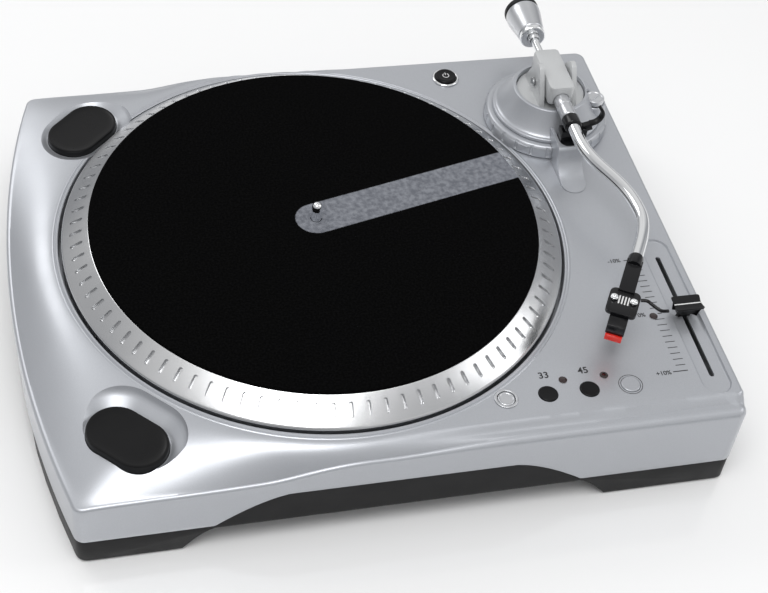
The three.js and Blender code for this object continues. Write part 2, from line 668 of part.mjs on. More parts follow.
/** Line and phono slide switch. */
function lineSwitch() {
  const tab = box(-3.6, -1.1, -8, 2.2, -1.6, 1.6);
  const carrier = box(-6, 1.5, -8, -REAR_PANEL.thickness - GAP - 0.2, -3.5, 3.5);
  return unite(tab, carrier).translate([REAR_PANEL.x + SWITCH.x + 0.6, REAR_FACE_Y - 0.5, REAR_PANEL.z]);
}

function powerInlet() {
  const { width, height, depth, pinRecess } = INLET;
  const block = prismAlongY(roundedRectangle(width, height, 2), -depth, 0);
  const well = prismAlongY(roundedRectangle(width - 6, height - 8, 3), -depth + 6, 1);
  const pins = [-4, 4].map((x) => barY(1.2, -depth + 5, -pinRecess, x, 0, 12));
  return unite(block.subtract(well), ...pins).translate([INLET.x, REAR_FACE_Y - 0.5, INLET.z]);
}

function rearCuts() {
  const panel = roundedRectangle(REAR_PANEL.width + 2 * GAP, REAR_PANEL.height + 2 * GAP, 2);
  const inlet = roundedRectangle(INLET.width + 2 * GAP, INLET.height + 2 * GAP, 2);
  return unite(
    prismAlongY(panel, REAR_FACE_Y - 8, REAR_FACE_Y + 4).translate([REAR_PANEL.x, 0, REAR_PANEL.z]),
    prismAlongY(inlet, REAR_FACE_Y - 8, REAR_FACE_Y + 4).translate([INLET.x, 0, INLET.z]),
  );
}

/** Transformer block with its two end flanges. */
function transformer() {
  const [x, y] = [PIVOT_X - 30, PIVOT_Y - 20];
  const core = box(x - 24, x + 24, y - 20, y + 20, BASE_FLOOR_Z + GAP, BASE_FLOOR_Z + 30);
  const flange = box(x - 34, x + 34, y - 8, y + 8, BASE_FLOOR_Z + GAP, BASE_FLOOR_Z + 3);
  return unite(core, flange);
}

// ---------------------------------------------------------------- shell and base

const BUTTON_GUIDE = 0.4;

/** Wells under the deck that hold a start button's bowl. */
function dishHousing(seat) {
  const shape = stadium(START_BUTTON.length + 2 * DISH_FLARE + 6, START_BUTTON.width + 2 * DISH_FLARE + 6);
  return placed(prism(shape, -DISH_DEPTH - SHELL_WALL, 40), seat);
}

/** Everything that passes down through the deck or its well. */
function deckHoles() {
  const depth = DECK_Z - 20;
  const over = DECK_Z + 30;
  const keyHole = KEY_RADIUS + BUTTON_GUIDE;
  const keys = CONTROL_X.slice(1).map((x) => cylinder(keyHole, depth, over, x, CONTROL_ROW_Y));
  const lamps = cylinder(LAMP.radius + GAP + LAMP.ring, depth, over, CONTROL_X[0], CONTROL_ROW_Y);
  const lights = [...SPEED_LEDS, PITCH_LED].map(({ x, y }) => (
    cylinder(LED_RADIUS + GAP, depth, over, x, y, 16)));
  const power = cylinder(POWER_RADIUS + POWER_RING - 0.7, depth, over, POWER_PLACE.x, POWER_PLACE.y);
  const arm = cylinder(ARM_SPIGOT + GAP, depth, over, PIVOT_X, PIVOT_Y);
  const bearing = cylinder(BEARING_NECK + GAP, WELL_Z - 8, WELL_Z + 8);
  const motor = cylinder(PULLEY_RADIUS + 5, WELL_Z - 8, WELL_Z + 8, MOTOR_X, MOTOR_Y);
  const starts = Object.values(START_SEATS).map((seat) => {
    const { length, width } = START_BUTTON;
    const shape = stadium(length + 2 * BUTTON_GUIDE, width + 2 * BUTTON_GUIDE);
    return unite(placed(prism(shape, -40, 5), seat), placed(buttonDish(), seat));
  });
  return unite(...keys, lamps, ...lights, power, arm, bearing, motor, ...starts, faderCut());
}

const ARM_SPIGOT = 24;
const BEARING_NECK = 14;

/** Silver top shell: deck, sculpted sides, platter well and every opening. */
function topShell() {
  const block = prism(plinthOutline(0), SHELL_EDGE_Z, DECK_Z);
  const body = block.subtract(leftFall()).subtract(frontFall());
  const lipTop = DECK_Z + LIP_RISE;
  const lip = turned([[0, DECK_Z - 1], [FLAT_RADIUS, DECK_Z - 1], [FLAT_RADIUS, DECK_Z + LIP_RISE / 2],
    [FLAT_RADIUS - 1, lipTop], [0, lipTop]], 64);
  const bowl = cylinder(WELL_RADIUS + SHELL_WALL, WELL_Z - SHELL_WALL, DECK_Z + 5, 0, 0, 48);
  const housings = Object.values(START_SEATS).map(dishHousing);
  const inside = prism(plinthOutline(SHELL_WALL), SHELL_EDGE_Z - 5, DECK_Z - SHELL_WALL);
  const hollow = body.translate([0, 0, -SHELL_WALL]).intersect(inside).subtract(unite(bowl, ...housings));
  const lower = prism(plinthOutline(SHELL_WALL), SHELL_EDGE_Z - 5, SHELL_EDGE_Z + 20);
  const well = cylinder(WELL_RADIUS, WELL_Z, DECK_Z + 5, 0, 0, 64);
  const rimmed = body.add(lip.intersect(prism(plinthOutline(0), 0, DECK_Z + 5)));
  const armSeat = cylinder(ARM_BASE_RADIUS + 0.8, DECK_Z, DECK_Z + 5, PIVOT_X, PIVOT_Y, 48);
  const openings = unite(hollow, lower, well, armSeat, deckHoles(), rearCuts(), shellArches(0));
  return rimmed.subtract(openings);
}

/** Dark base: the visible band, feet, floor and an upstand inside the shell. */
function basePan() {
  const band = prism(plinthOutline(0.8), FOOT_LIFT, SHELL_EDGE_Z - GAP);
  const fill = prism(plinthOutline(0.8), SHELL_EDGE_Z - 1, SHELL_ARCH_Z - GAP).intersect(shellArches(GAP));
  const inner = SHELL_WALL + GAP;
  const upstand = prism(plinthOutline(inner), SHELL_EDGE_Z - 1, SHELL_ARCH_Z + 4);
  const room = prism(plinthOutline(inner + SHELL_WALL), FOOT_LIFT + 4, SHELL_ARCH_Z + 10);
  const floor = baseArches(SHELL_WALL).intersect(prism(plinthOutline(inner), FOOT_LIFT, BASE_FLOOR_Z));
  const tray = unite(unite(band, fill, upstand).subtract(room), floor, ...boardPosts(), ...faderPosts());
  const pads = footPlaces().map(([x, y]) => cylinder(PAD_RADIUS + GAP, -1, FOOT_LIFT + 1.5 + GAP, x, y, 24));
  return tray.subtract(unite(baseArches(), ...pads, inletRoom()));
}

/** Keeps the upstand clear of the mains inlet and the rear panel's parts. */
function inletRoom() {
  const { x, z, width, height, depth } = INLET;
  const [w, h] = [width / 2 + 1, height / 2 + 1];
  const inlet = box(x - w, x + w, REAR_FACE_Y - depth - 2, REAR_FACE_Y - SHELL_WALL, z - h, z + h);
  const half = REAR_PANEL.width / 2 + 1;
  const [left, right] = [REAR_PANEL.x - half, REAR_PANEL.x + half];
  const low = REAR_PANEL.z - REAR_PANEL.height / 2 - 1;
  const panel = box(left, right, REAR_FACE_Y - 14, REAR_FACE_Y, low, SHELL_ARCH_Z + 10);
  return unite(inlet, panel);
}

const PAD_RADIUS = 11;
const PAD_THICKNESS = 3;

function footPlaces() {
  const edge = 21;
  const [left, right] = [CORNER_X + edge, PLINTH_RIGHT - edge];
  const [front, back] = [edge - PLINTH_FRONT, PLINTH_BACK - edge];
  return [[left, front], [right, front], [right, back], [left, back]];
}

function footPad([x, y]) {
  return cylinder(PAD_RADIUS, 0, PAD_THICKNESS, x, y, 24);
}

// ---------------------------------------------------------------- drive

/** Bearing tube that hangs from the well floor and carries the spindle. */
function bearingHousing() {
  const bore = SPINDLE_RADIUS + 0.1;
  const under = WELL_Z - SHELL_WALL - GAP;
  const profile = [
    [0, 26], [9, 26], [10, 28], [10, under - 5], [24, under - 4], [24, under], [BEARING_NECK, under],
    [BEARING_NECK, WELL_Z + 4], [bore, WELL_Z + 4], [bore, 31], [0, 31],
  ];
  return turned(profile, 24);
}

function spindle() {
  const top = MAT_TOP_Z + SPINDLE_RISE;
  const shoulder = SPINDLE_RADIUS * 0.8;
  const profile = [
    [0, 31.3], [1.5, 31.5], [SPINDLE_RADIUS, 34], [SPINDLE_RADIUS, top - 8],
    [shoulder, top - 5], [0.8, top - 0.4], [0, top],
  ];
  return turned(profile, 24);
}

/** Cast platter: web, sloping ring, rim, inner rim for the belt and hub. */
function platter() {
  const face = PLATTER_RADIUS - PLATTER_BEVEL;
  const bevelEnd = PLATTER_TOP_Z - PLATTER_BEVEL_DROP;
  const wall = 4;
  const hub = 16;
  const profile = [
    [SPINDLE_RADIUS + GAP, RIM_BOTTOM_Z], [hub, RIM_BOTTOM_Z], [hub, WEB_Z],
    [SUB_RIM_RADIUS - wall, WEB_Z], [SUB_RIM_RADIUS - wall, RIM_BOTTOM_Z], [SUB_RIM_RADIUS, RIM_BOTTOM_Z],
    [SUB_RIM_RADIUS, WEB_Z], [face - 4, WEB_Z], [PLATTER_RADIUS - wall, bevelEnd - 3],
    [PLATTER_RADIUS - wall, RIM_BOTTOM_Z], [PLATTER_RADIUS - 0.6, RIM_BOTTOM_Z],
    [PLATTER_RADIUS, RIM_BOTTOM_Z + 0.6], [PLATTER_RADIUS, bevelEnd],
    [face, PLATTER_TOP_Z], [SPINDLE_RADIUS + GAP, PLATTER_TOP_Z],
  ];
  return turnedRing(profile, 64);
}

function slipmat() {
  const radius = PLATTER_RADIUS - PLATTER_BEVEL - 0.5;
  const hole = SPINDLE_RADIUS + GAP;
  return turnedRing([[hole, MAT_Z], [radius, MAT_Z], [radius, MAT_TOP_Z], [hole, MAT_TOP_Z]], 64);
}

/** Motor under the well floor, with the flange that screws to it. */
function motor() {
  const top = WELL_Z - SHELL_WALL - GAP;
  const can = cylinder(MOTOR_RADIUS, top - MOTOR_HEIGHT, top, 0, 0, 28);
  const flange = prism(stadium(2 * MOTOR_RADIUS + 22, 14), top - 2, top);
  const shaftHole = cylinder(1.4, top - 8, top + 1, 0, 0, 16);
  return unite(can, flange).subtract(shaftHole).translate([MOTOR_X, MOTOR_Y, 0]);
}

/** Crowned pulley on the motor's shaft. */
function motorPulley() {
  const top = WELL_Z - SHELL_WALL - GAP;
  const [low, high] = [BELT_Z - 1.2, BELT_Z + BELT_WIDTH + 1.2];
  const flange = PULLEY_RADIUS + 1.5;
  const profile = [
    [0, top - 7], [1.2, top - 7], [1.2, low - 1.5], [flange, low - 1.5], [flange, low],
    [PULLEY_RADIUS, low + 0.4], [PULLEY_RADIUS, high - 0.4], [flange, high], [flange, high + 1],
    [0, high + 1],
  ];
  return turned(profile, 20).translate([MOTOR_X, MOTOR_Y, 0]);
}

/** Loop outline round the inner rim and the pulley, grown by offset. */
function beltOutline(offset) {
  const [large, small] = [SUB_RIM_RADIUS + offset, PULLEY_RADIUS + offset];
  const open = Math.acos((large - small) / MOTOR_REACH);
  const toMotor = THREE.MathUtils.degToRad(MOTOR_ANGLE);
  const shape = new THREE.Shape();
  shape.absarc(0, 0, large, toMotor + open, toMotor - open + Math.PI * 2, false);
  shape.absarc(MOTOR_X, MOTOR_Y, small, toMotor - open, toMotor + open, false);
  shape.closePath();
  return shape;
}

function driveBelt() {
  const slack = 0.35;
  const outer = prism(beltOutline(slack + BELT_THICKNESS), BELT_Z, BELT_Z + BELT_WIDTH, 20);
  return outer.subtract(prism(beltOutline(slack), BELT_Z - 1, BELT_Z + BELT_WIDTH + 1, 20));
}

// ---------------------------------------------------------------- tonearm base

// Builders below work from the pivot: its axis is x = y = 0 and the arm points to -Y.

const RING_MARKS = 24;
const DIAL = { radius: 7, x: 32, y: -9, height: 3.2 };
const DIAL_Z = DOME_Z + 10.5;
const REST_Z = DOME_Z + 10; // top of the rest's channel
const REST_END = 57; // pivot to the end of the channel
const REST_HALF_WIDTH = 9;
const CRADLE_Y = 45; // pivot to the middle of the cradle
const YOKE_FLOOR_Z = DOME_TOP_Z - 6.5;

/** Round foot of the arm with engraved marks on its flank. */
function armBase() {
  const foot = DECK_Z + GAP;
  const top = foot + ARM_BASE_HEIGHT;
  const profile = [
    [13, foot - 6], [ARM_SPIGOT, foot - 6], [ARM_SPIGOT, foot], [ARM_BASE_RADIUS, foot],
    [ARM_BASE_RADIUS, foot + 1.5], [ARM_BASE_RADIUS - 1.8, top - 1.2], [ARM_BASE_RADIUS - 3, top],
    [13, top],
  ];
  const body = turnedRing(profile, 48);
  const marks = Array.from({ length: RING_MARKS }, (_, step) => {
    const mark = box(ARM_BASE_RADIUS - 1.6, ARM_BASE_RADIUS + 2, -0.5, 0.5, foot + 2.5, top - 2);
    return mark.rotate([0, 0, (step * 360) / RING_MARKS]);
  });
  return body.subtract(unite(...marks));
}

/** Cone on the foot, open in the middle for the yoke, with a seat for the anti-skate dial. */
function armDome() {
  const bore = 8.2;
  const open = YOKE_RADIUS + 0.7;
  const profile = [
    [bore, DOME_Z], [DOME_FOOT_RADIUS, DOME_Z], [DOME_FOOT_RADIUS, DOME_Z + 2],
    [DOME_FOOT_RADIUS - 1.5, DOME_Z + 3], [DOME_TOP_RADIUS, DOME_TOP_Z], [open, DOME_TOP_Z],
    [open, YOKE_FLOOR_Z - GAP], [bore, YOKE_FLOOR_Z - GAP],
  ];
  const boss = cylinder(DIAL.radius + 1.2, DOME_Z, DIAL_Z - GAP, DIAL.x, DIAL.y);
  const pocket = cylinder(DIAL.radius + 0.6, DIAL_Z - GAP, DOME_TOP_Z + 1, DIAL.x, DIAL.y);
  const wellRoom = cylinder(open, YOKE_FLOOR_Z - GAP, DOME_TOP_Z + 1, 0, 0, 48);
  return turnedRing(profile, 36).add(boss).subtract(pocket.subtract(wellRoom));
}

function antiSkateDial() {
  const body = softPrism(circleShape(DIAL.radius), DIAL_Z, DIAL_Z + DIAL.height, 0.6);
  const half = DIAL.radius - 1.5;
  const rib = box(-half, half, -0.8, 0.8, DIAL_Z + DIAL.height - 0.2, DIAL_Z + DIAL.height + 1);
  return body.add(rib).translate([DIAL.x, DIAL.y, 0]);
}

/** Pillar that flows up from the deck and the channel that joins it to the cone. */
function armRest() {
  const foot = DECK_Z + GAP;
  const flow = new THREE.Shape();
  flow.moveTo(-REST_END - 24, foot);
  flow.bezierCurveTo(-REST_END - 12, foot + 1, -REST_END - 2, foot + 4, -REST_END, REST_Z - 4);
  flow.quadraticCurveTo(-REST_END, REST_Z, -REST_END + 4, REST_Z);
  flow.lineTo(-30, REST_Z);
  flow.lineTo(-30, DOME_Z + GAP);
  flow.lineTo(GAP + 0.5 - ARM_BASE_RADIUS, DOME_Z + GAP);
  flow.lineTo(-GAP - 0.5 - ARM_BASE_RADIUS, DOME_Z);
  flow.lineTo(-GAP - 0.5 - ARM_BASE_RADIUS, foot);
  const side = prismAlongX(flow, -REST_HALF_WIDTH, REST_HALF_WIDTH);
  const plan = prism(stadium(REST_END + 24, 2 * REST_HALF_WIDTH), foot - 1, REST_Z + 1);
  const rounded = plan.rotate([0, 0, 90]).translate([0, -(REST_END + 24) / 2, 0]);
  const channel = prism(stadium(REST_END, 2 * REST_HALF_WIDTH - 5), REST_Z - 5, REST_Z + 5);
  const trough = channel.rotate([0, 0, 90]).translate([0, 2.5 - REST_END / 2, 0]);
  const cone = turned([
    [0, DOME_Z - 1], [DOME_FOOT_RADIUS + 0.5, DOME_Z - 1], [DOME_FOOT_RADIUS + 0.5, DOME_Z + 2.5],
    [DOME_TOP_RADIUS + 0.5, DOME_TOP_Z + 0.4], [0, DOME_TOP_Z + 0.4],
  ], 32);
  return side.intersect(rounded).subtract(unite(trough, cone));
}

/** Black saddle under the arm with the post that carries the lock. */
function armCradle() {
  const floor = REST_Z - 5 + GAP;
  const saddle = ARM_Z - SLEEVE_RADIUS - GAP;
  const half = REST_HALF_WIDTH - 2.5 - GAP;
  const shape = new THREE.Shape();
  shape.moveTo(-half, floor);
  shape.lineTo(half, floor);
  shape.lineTo(half, REST_Z + 1);
  shape.lineTo(LOCK.x + 2.4, REST_Z + 3);
  shape.lineTo(LOCK.x + 2.4, LOCK.z - 2.8);
  shape.lineTo(LOCK.x - 2.4, LOCK.z - 2.8);
  shape.lineTo(LOCK.x - 3.4, saddle - 1);
  shape.lineTo(-half, saddle);
  const ear = (y0) => {
    const cheek = new THREE.Shape();
    cheek.moveTo(LOCK.x - 2.4, LOCK.z - 4);
    cheek.lineTo(LOCK.x + 2.4, LOCK.z - 4);
    cheek.lineTo(LOCK.x + 2.4, LOCK.z);
    cheek.absarc(LOCK.x, LOCK.z, 2.4, 0, Math.PI, false);
    return prismAlongY(cheek, y0, y0 + 1.6);
  };
  const block = prismAlongY(shape, -CRADLE_Y - 4, -CRADLE_Y + 4);
  return unite(block, ear(-CRADLE_Y - 4), ear(-CRADLE_Y + 2.4));
}

const LOCK = { x: 10.5, z: ARM_Z - 8, openTurn: 74 };

/** Curved lock, drawn closed over the arm and then turned open about its pin. */
function armLock() {
  const [inner, outer] = [SLEEVE_RADIUS + 0.5, SLEEVE_RADIUS + 2.5];
  const [from, to] = [-0.35, 2.2];
  const hook = new THREE.Shape();
  hook.moveTo(outer * Math.cos(from), outer * Math.sin(from));
  hook.absarc(0, 0, outer, from, to, false);
  hook.absarc(0, 0, inner, to, from, true);
  const length = 2.1;
  const curve = prismAlongY(hook, -length, length).translate([0, 0, ARM_Z]);
  const stem = box(inner * Math.cos(from) + 0.6, LOCK.x + 1.6, -length, length, LOCK.z, ARM_Z - 1.5);
  const hub = barY(2, -length, length, LOCK.x, LOCK.z, 20);
  const closed = unite(curve, stem, hub).translate([-LOCK.x, 0, -LOCK.z]);
  return closed.rotate([0, LOCK.openTurn, 0]).translate([LOCK.x, -CRADLE_Y, LOCK.z]);
}

// ---------------------------------------------------------------- yoke and arm

const FIN = { inner: BLOCK.width / 2 + 0.9, thickness: 3.4 };
const YOKE_DISC_Z = YOKE_FLOOR_Z + 3;
const PIN_RADIUS = 1.5;

/** Turning yoke: disc, shaft and two pointed cheeks. */
function armYoke() {
  const disc = cylinder(YOKE_RADIUS, YOKE_FLOOR_Z, YOKE_DISC_Z, 0, 0, 48);
  const shaft = cylinder(8, DOME_Z - 4, YOKE_FLOOR_Z + 1, 0, 0, 40);
  const fin = new THREE.Shape();
  const base = YOKE_DISC_Z - 1;
  const apex = ARM_Z + 17.5;
  fin.moveTo(-19, base);
  fin.lineTo(19, base);
  fin.quadraticCurveTo(8, apex - 7, 1, apex - 1.5);
  fin.quadraticCurveTo(-2.5, apex + 1, -6, apex - 2);
  fin.quadraticCurveTo(-16, apex - 18, -19, base);
  const { inner, thickness } = FIN;
  const cheeks = [prismAlongX(fin, inner, inner + thickness), prismAlongX(fin, -inner - thickness, -inner)];
  const pinHole = barX(PIN_RADIUS + GAP, -30, 30, 0, ARM_Z, 16);
  return unite(disc, shaft, ...cheeks).subtract(pinHole);
}

/** Pivot screw through one cheek: side is -1 for the left one. */
function pivotScrew(side) {
  const outer = FIN.inner + FIN.thickness + GAP;
  const head = barX(3.1, outer, outer + 1.6, 0, ARM_Z, 24);
  const pin = barX(PIN_RADIUS, BLOCK.width / 2 - 2.2, outer + 0.5, 0, ARM_Z, 16);
  const slot = box(outer + 0.9, outer + 3, -0.5, 0.5, ARM_Z - 4, ARM_Z + 4);
  const screw = head.add(pin).subtract(slot);
  return side < 0 ? screw.mirror([1, 0, 0]) : screw;
}

/** Rounded block that the arm tube and the weight's shaft are fixed to. */
function pivotBlock() {
  const { width, height, front, back } = BLOCK;
  const side = new THREE.Shape();
  const [low, high] = [ARM_Z - 4.5, ARM_Z - 4.5 + height];
  side.moveTo(-front, low + 1);
  side.lineTo(-front + 2, low);
  side.lineTo(4, low);
  side.lineTo(back, ARM_Z - 3.4);
  side.lineTo(back, high - 3);
  side.quadraticCurveTo(back, high, back - 4, high);
  side.quadraticCurveTo(-front * 0.5, high, -front, ARM_Z + COLLAR_RADIUS + 1);
  const body = prismAlongX(side, -width / 2, width / 2);
  const frontSocket = barY(COLLAR_RADIUS + GAP, -front - 2, -front + 8, 0, ARM_Z, 24);
  const rearSocket = barY(SHAFT_RADIUS + GAP, back - 8, back + 2, 0, ARM_Z, 20);
  const pinHoles = barX(PIN_RADIUS + RUNNING_GAP, -width, width, 0, ARM_Z, 16);
  return body.subtract(unite(frontSocket, rearSocket, pinHoles));
}

function frontCollar() {
  const root = -BLOCK.front + 8 - GAP;
  return barY(COLLAR_RADIUS, -COLLAR_END, root, 0, ARM_Z, 28);
}

/** Black band where the arm lies in its rest. */
function restSleeve() {
  return barY(SLEEVE_RADIUS, -SLEEVE_END, -COLLAR_END - GAP, 0, ARM_Z, 28);
}

/** Centre line of the S: straight, out to its sway, then back inward to the headshell. */
function tubePath() {
  const at = (x, y) => new THREE.Vector3(x, y, ARM_Z);
  const path = new THREE.CurvePath();
  const start = -SLEEVE_END - GAP;
  const bend = at(TUBE_SWAY, -TUBE_BEND);
  path.add(new THREE.LineCurve3(at(0, start), at(0, start - 10)));
  path.add(new THREE.CubicBezierCurve3(at(0, start - 10), at(0, -96), at(TUBE_SWAY, -104), bend));
  const turn = THREE.MathUtils.degToRad(HEAD_ANGLE);
  const lead = 15;
  const back = at(TUBE_END.x + lead * Math.sin(turn), TUBE_END.y + lead * Math.cos(turn));
  const end = at(TUBE_END.x, TUBE_END.y);
  path.add(new THREE.CubicBezierCurve3(bend, at(TUBE_SWAY, -TUBE_BEND - 14), back, end));
  return path;
}

function armTube() {
  const section = new THREE.Shape().absarc(0, 0, TUBE_RADIUS, 0, Math.PI * 2, false);
  const options = { extrudePath: tubePath(), steps: 28, curveSegments: 5, bevelEnabled: false };
  return solid(new THREE.ExtrudeGeometry(section, options));
}

/** Carries a piece drawn along -Y from the tube's end to its place on the arm. */
function onHead(body) {
  return body.rotate([0, 0, -HEAD_ANGLE]).translate([TUBE_END.x, TUBE_END.y, 0]);
}

const HEAD_TOP_Z = ARM_Z - 0.5;
const HEAD_BOTTOM_Z = HEAD_TOP_Z - HEADSHELL.thickness;
const STYLUS_Z = MAT_TOP_Z + STYLUS_CLEARANCE;

/** Headshell: round socket, neck and the wide plate that holds the cartridge. */
function headshell() {
  const { neck, plate, neckLength, length } = HEADSHELL;
  const outline = new THREE.Shape();
  const [n, p] = [neck / 2, plate / 2];
  outline.moveTo(-n, -4);
  outline.lineTo(-n, -neckLength);
  outline.quadraticCurveTo(-p, -neckLength, -p, -neckLength - 5);
  outline.lineTo(-p, -length + 4);
  outline.quadraticCurveTo(-p, -length, -p + 4, -length);
  outline.lineTo(p - 4, -length);
  outline.quadraticCurveTo(p, -length, p, -length + 4);
  outline.lineTo(p, -neckLength - 5);
  outline.quadraticCurveTo(p, -neckLength, n, -neckLength);
  outline.lineTo(n, -4);
  const sheet = prism(outline, HEAD_BOTTOM_Z, HEAD_TOP_Z);
  const spine = box(-n, n, -neckLength - 3, -4, HEAD_BOTTOM_Z, HEAD_TOP_Z + 2);
  const socket = barY(TUBE_RADIUS + 0.6, -9, -GAP - 0.4, 0, ARM_Z - 0.2, 24);
  const holes = headScrewPlaces().map((x) => cylinder(1.5, 0, 200, x, -HEAD_SCREW_PLACE, 16));
  return onHead(unite(sheet, spine, socket).subtract(unite(...holes)));
}

function headScrewPlaces() {
  return [-HEAD_SCREW_SPACING / 2, HEAD_SCREW_SPACING / 2];
}

function headScrew(x) {
  const head = cylinder(2.5, HEAD_TOP_Z + GAP, HEAD_TOP_Z + 1.9, x, -HEAD_SCREW_PLACE, 24);
  const shank = cylinder(1.2, HEAD_BOTTOM_Z - 4, HEAD_TOP_Z + 1, x, -HEAD_SCREW_PLACE, 12);
  const slot = box(x - 3, x + 3, -0.4, 0.4, HEAD_TOP_Z + 1.2, HEAD_TOP_Z + 3);
  return onHead(head.add(shank).subtract(slot.translate([0, -HEAD_SCREW_PLACE, 0])));
}

/** Bent finger lift on the outer edge of the plate. */
function fingerLift() {
  const edge = HEADSHELL.plate / 2 + GAP;
  const z = HEAD_BOTTOM_Z + 1.5;
  const points = [[0, -35, 0], [4, -34, 0], [8, -37, 0.8], [14, -42, 3], [18, -44, 6.5]];
  const at = ([out, y, rise]) => new THREE.Vector3(edge + out, y, z + rise);
  const path = new THREE.CatmullRomCurve3(points.map(at));
  const section = new THREE.Shape().absarc(0, 0, 1.2, 0, Math.PI * 2, false);
  const options = { extrudePath: path, steps: 16, curveSegments: 4, bevelEnabled: false };
  return onHead(solid(new THREE.ExtrudeGeometry(section, options)));
}

/** Cartridge body under the plate, with holes for its two screws. */
function cartridge() {
  const top = HEAD_BOTTOM_Z - GAP;
  const side = new THREE.Shape();
  side.moveTo(-30, top);
  side.lineTo(-30, top - 10);
  side.lineTo(-50, STYLUS_Z + 5.4);
  side.lineTo(-60, STYLUS_Z + 5.4);
  side.lineTo(-60, top - 2);
  side.lineTo(-54, top);
  const body = prismAlongX(side, -6, 6);
  const flange = box(-9, 9, -46, -36, top - 3.4, top);
  const holes = headScrewPlaces().map((x) => cylinder(1.5, top - 8, top + 1, x, -HEAD_SCREW_PLACE, 16));
  return onHead(body.add(flange).subtract(unite(...holes)));
}

/** Red stylus holder with the guard that reaches down to the tip. */
function stylusHolder() {
  const top = STYLUS_Z + 5.4 - GAP;
  const side = new THREE.Shape();
  side.moveTo(-46, top);
  side.lineTo(-61.5, top);
  side.lineTo(-62, top - 4);
  side.lineTo(-56, STYLUS_Z);
  side.lineTo(-54.5, STYLUS_Z);
  side.lineTo(-50, top - 3);
  return onHead(prismAlongX(side, -5.5, 5.5));
}

// ---------------------------------------------------------------- counterweight

function rearShaft() {
  return barY(SHAFT_RADIUS, BLOCK.back - 8 + GAP, SHAFT_END, 0, ARM_Z, 24);
}

/** Raises a piece turned about the Y axis to the arm's height. */
function onArm(body) {
  return body.translate([0, 0, ARM_Z]);
}

function weightSleeve() {
  const bore = SHAFT_RADIUS + RUNNING_GAP;
  const radius = WEIGHT_SLEEVE_RADIUS;
  const [near, far] = [WEIGHT.near - 8, WEIGHT.far - 3];
  return onArm(turnedAlongY([[bore, near], [radius, near], [radius, far], [bore, far]], 20));
}

function counterweight() {
  const { near, far, nearRadius, farRadius } = WEIGHT;
  const bore = WEIGHT_SLEEVE_RADIUS + GAP;
  return onArm(turnedAlongY([[bore, near], [nearRadius, near], [farRadius, far], [bore, far]], 32));
}

function weightCap() {
  const { far, farRadius } = WEIGHT;
  const root = far + GAP;
  const profile = [
    [0, root], [farRadius, root], [farRadius, far + 3.4], [farRadius - 2, far + 5.2], [0, far + 5.6],
  ];
  return onArm(turnedAlongY(profile, 28));
}

/** Chrome tracking force dial on the near end of the weight. */
function weightDial() {
  const { near, nearRadius } = WEIGHT;
  const bore = WEIGHT_SLEEVE_RADIUS + GAP;
  const profile = [
    [bore, near - GAP], [nearRadius - 0.2, near - GAP], [nearRadius - 0.4, near - 3.6],
    [nearRadius - 1.2, near - 4.2], [bore, near - 4.2],
  ];
  return onArm(turnedAlongY(profile, 28));
}

// ---------------------------------------------------------------- assembly

const assembly = new THREE.Group();

/** Adds one sub-part as a named mesh. */
function put(name, body, look, parent = assembly) {
  const mesh = new THREE.Mesh(geometryOf(body), finish(look));
  mesh.name = name;
  parent.add(mesh);
}

function buildPlinth() {
  put('top_shell', topShell(), 'silverPaint');
  put('base_pan', basePan(), 'blackPlastic');
  footPlaces().forEach((place, index) => put(`foot_pad_${index + 1}`, footPad(place), 'rubber'));
  put('main_board', mainBoard(), 'board');
  put('power_transformer', transformer(), 'steel');
}

function buildDrive() {
  put('bearing_housing', bearingHousing(), 'brass');
  put('drive_motor', motor(), 'steel');
  put('motor_pulley', motorPulley(), 'brass');
  put('drive_belt', driveBelt(), 'rubber');
  put('platter', platter(), 'aluminium');
  put('slipmat', slipmat(), 'felt');
  put('spindle', spindle(), 'chrome');
}

function buildControls() {
  for (const [name, seat] of Object.entries(START_SEATS)) {
    put(`start_button_${name}`, startButton(seat), 'glossBlack');
  }
  ['speed_key_33', 'speed_key_45'].forEach((name, step) => put(name, key(CONTROL_X[step + 1]), 'glossBlack'));
  put('aux_key', key(CONTROL_X[3]), 'silverPaint');
  ['speed_led_33', 'speed_led_45'].forEach((name, step) => put(name, led(SPEED_LEDS[step]), 'ledRed'));
  put('pitch_led', led(PITCH_LED), 'ledRed');
  put('target_lamp', lamp(), 'aluminium');
  put('target_lamp_ring', lampRing(), 'blackPlastic');
  put('power_button', powerButton(), 'glossBlack');
  put('power_button_ring', powerRing(), 'chrome');
  put('pitch_knob', pitchKnob(), 'glossBlack');
  put('pitch_fader_body', faderBody(), 'steel');
}

function buildRear() {
  put('rear_panel', rearPanel(), 'blackPlastic');
  put('phono_socket_left', phonoSocket(SOCKETS.left), 'sockets');
  put('phono_socket_right', phonoSocket(SOCKETS.right), 'red');
  put('ground_terminal', groundTerminal(), 'brass');
  put('line_switch', lineSwitch(), 'blackPlastic');
  put('power_inlet', powerInlet(), 'blackPlastic');
}

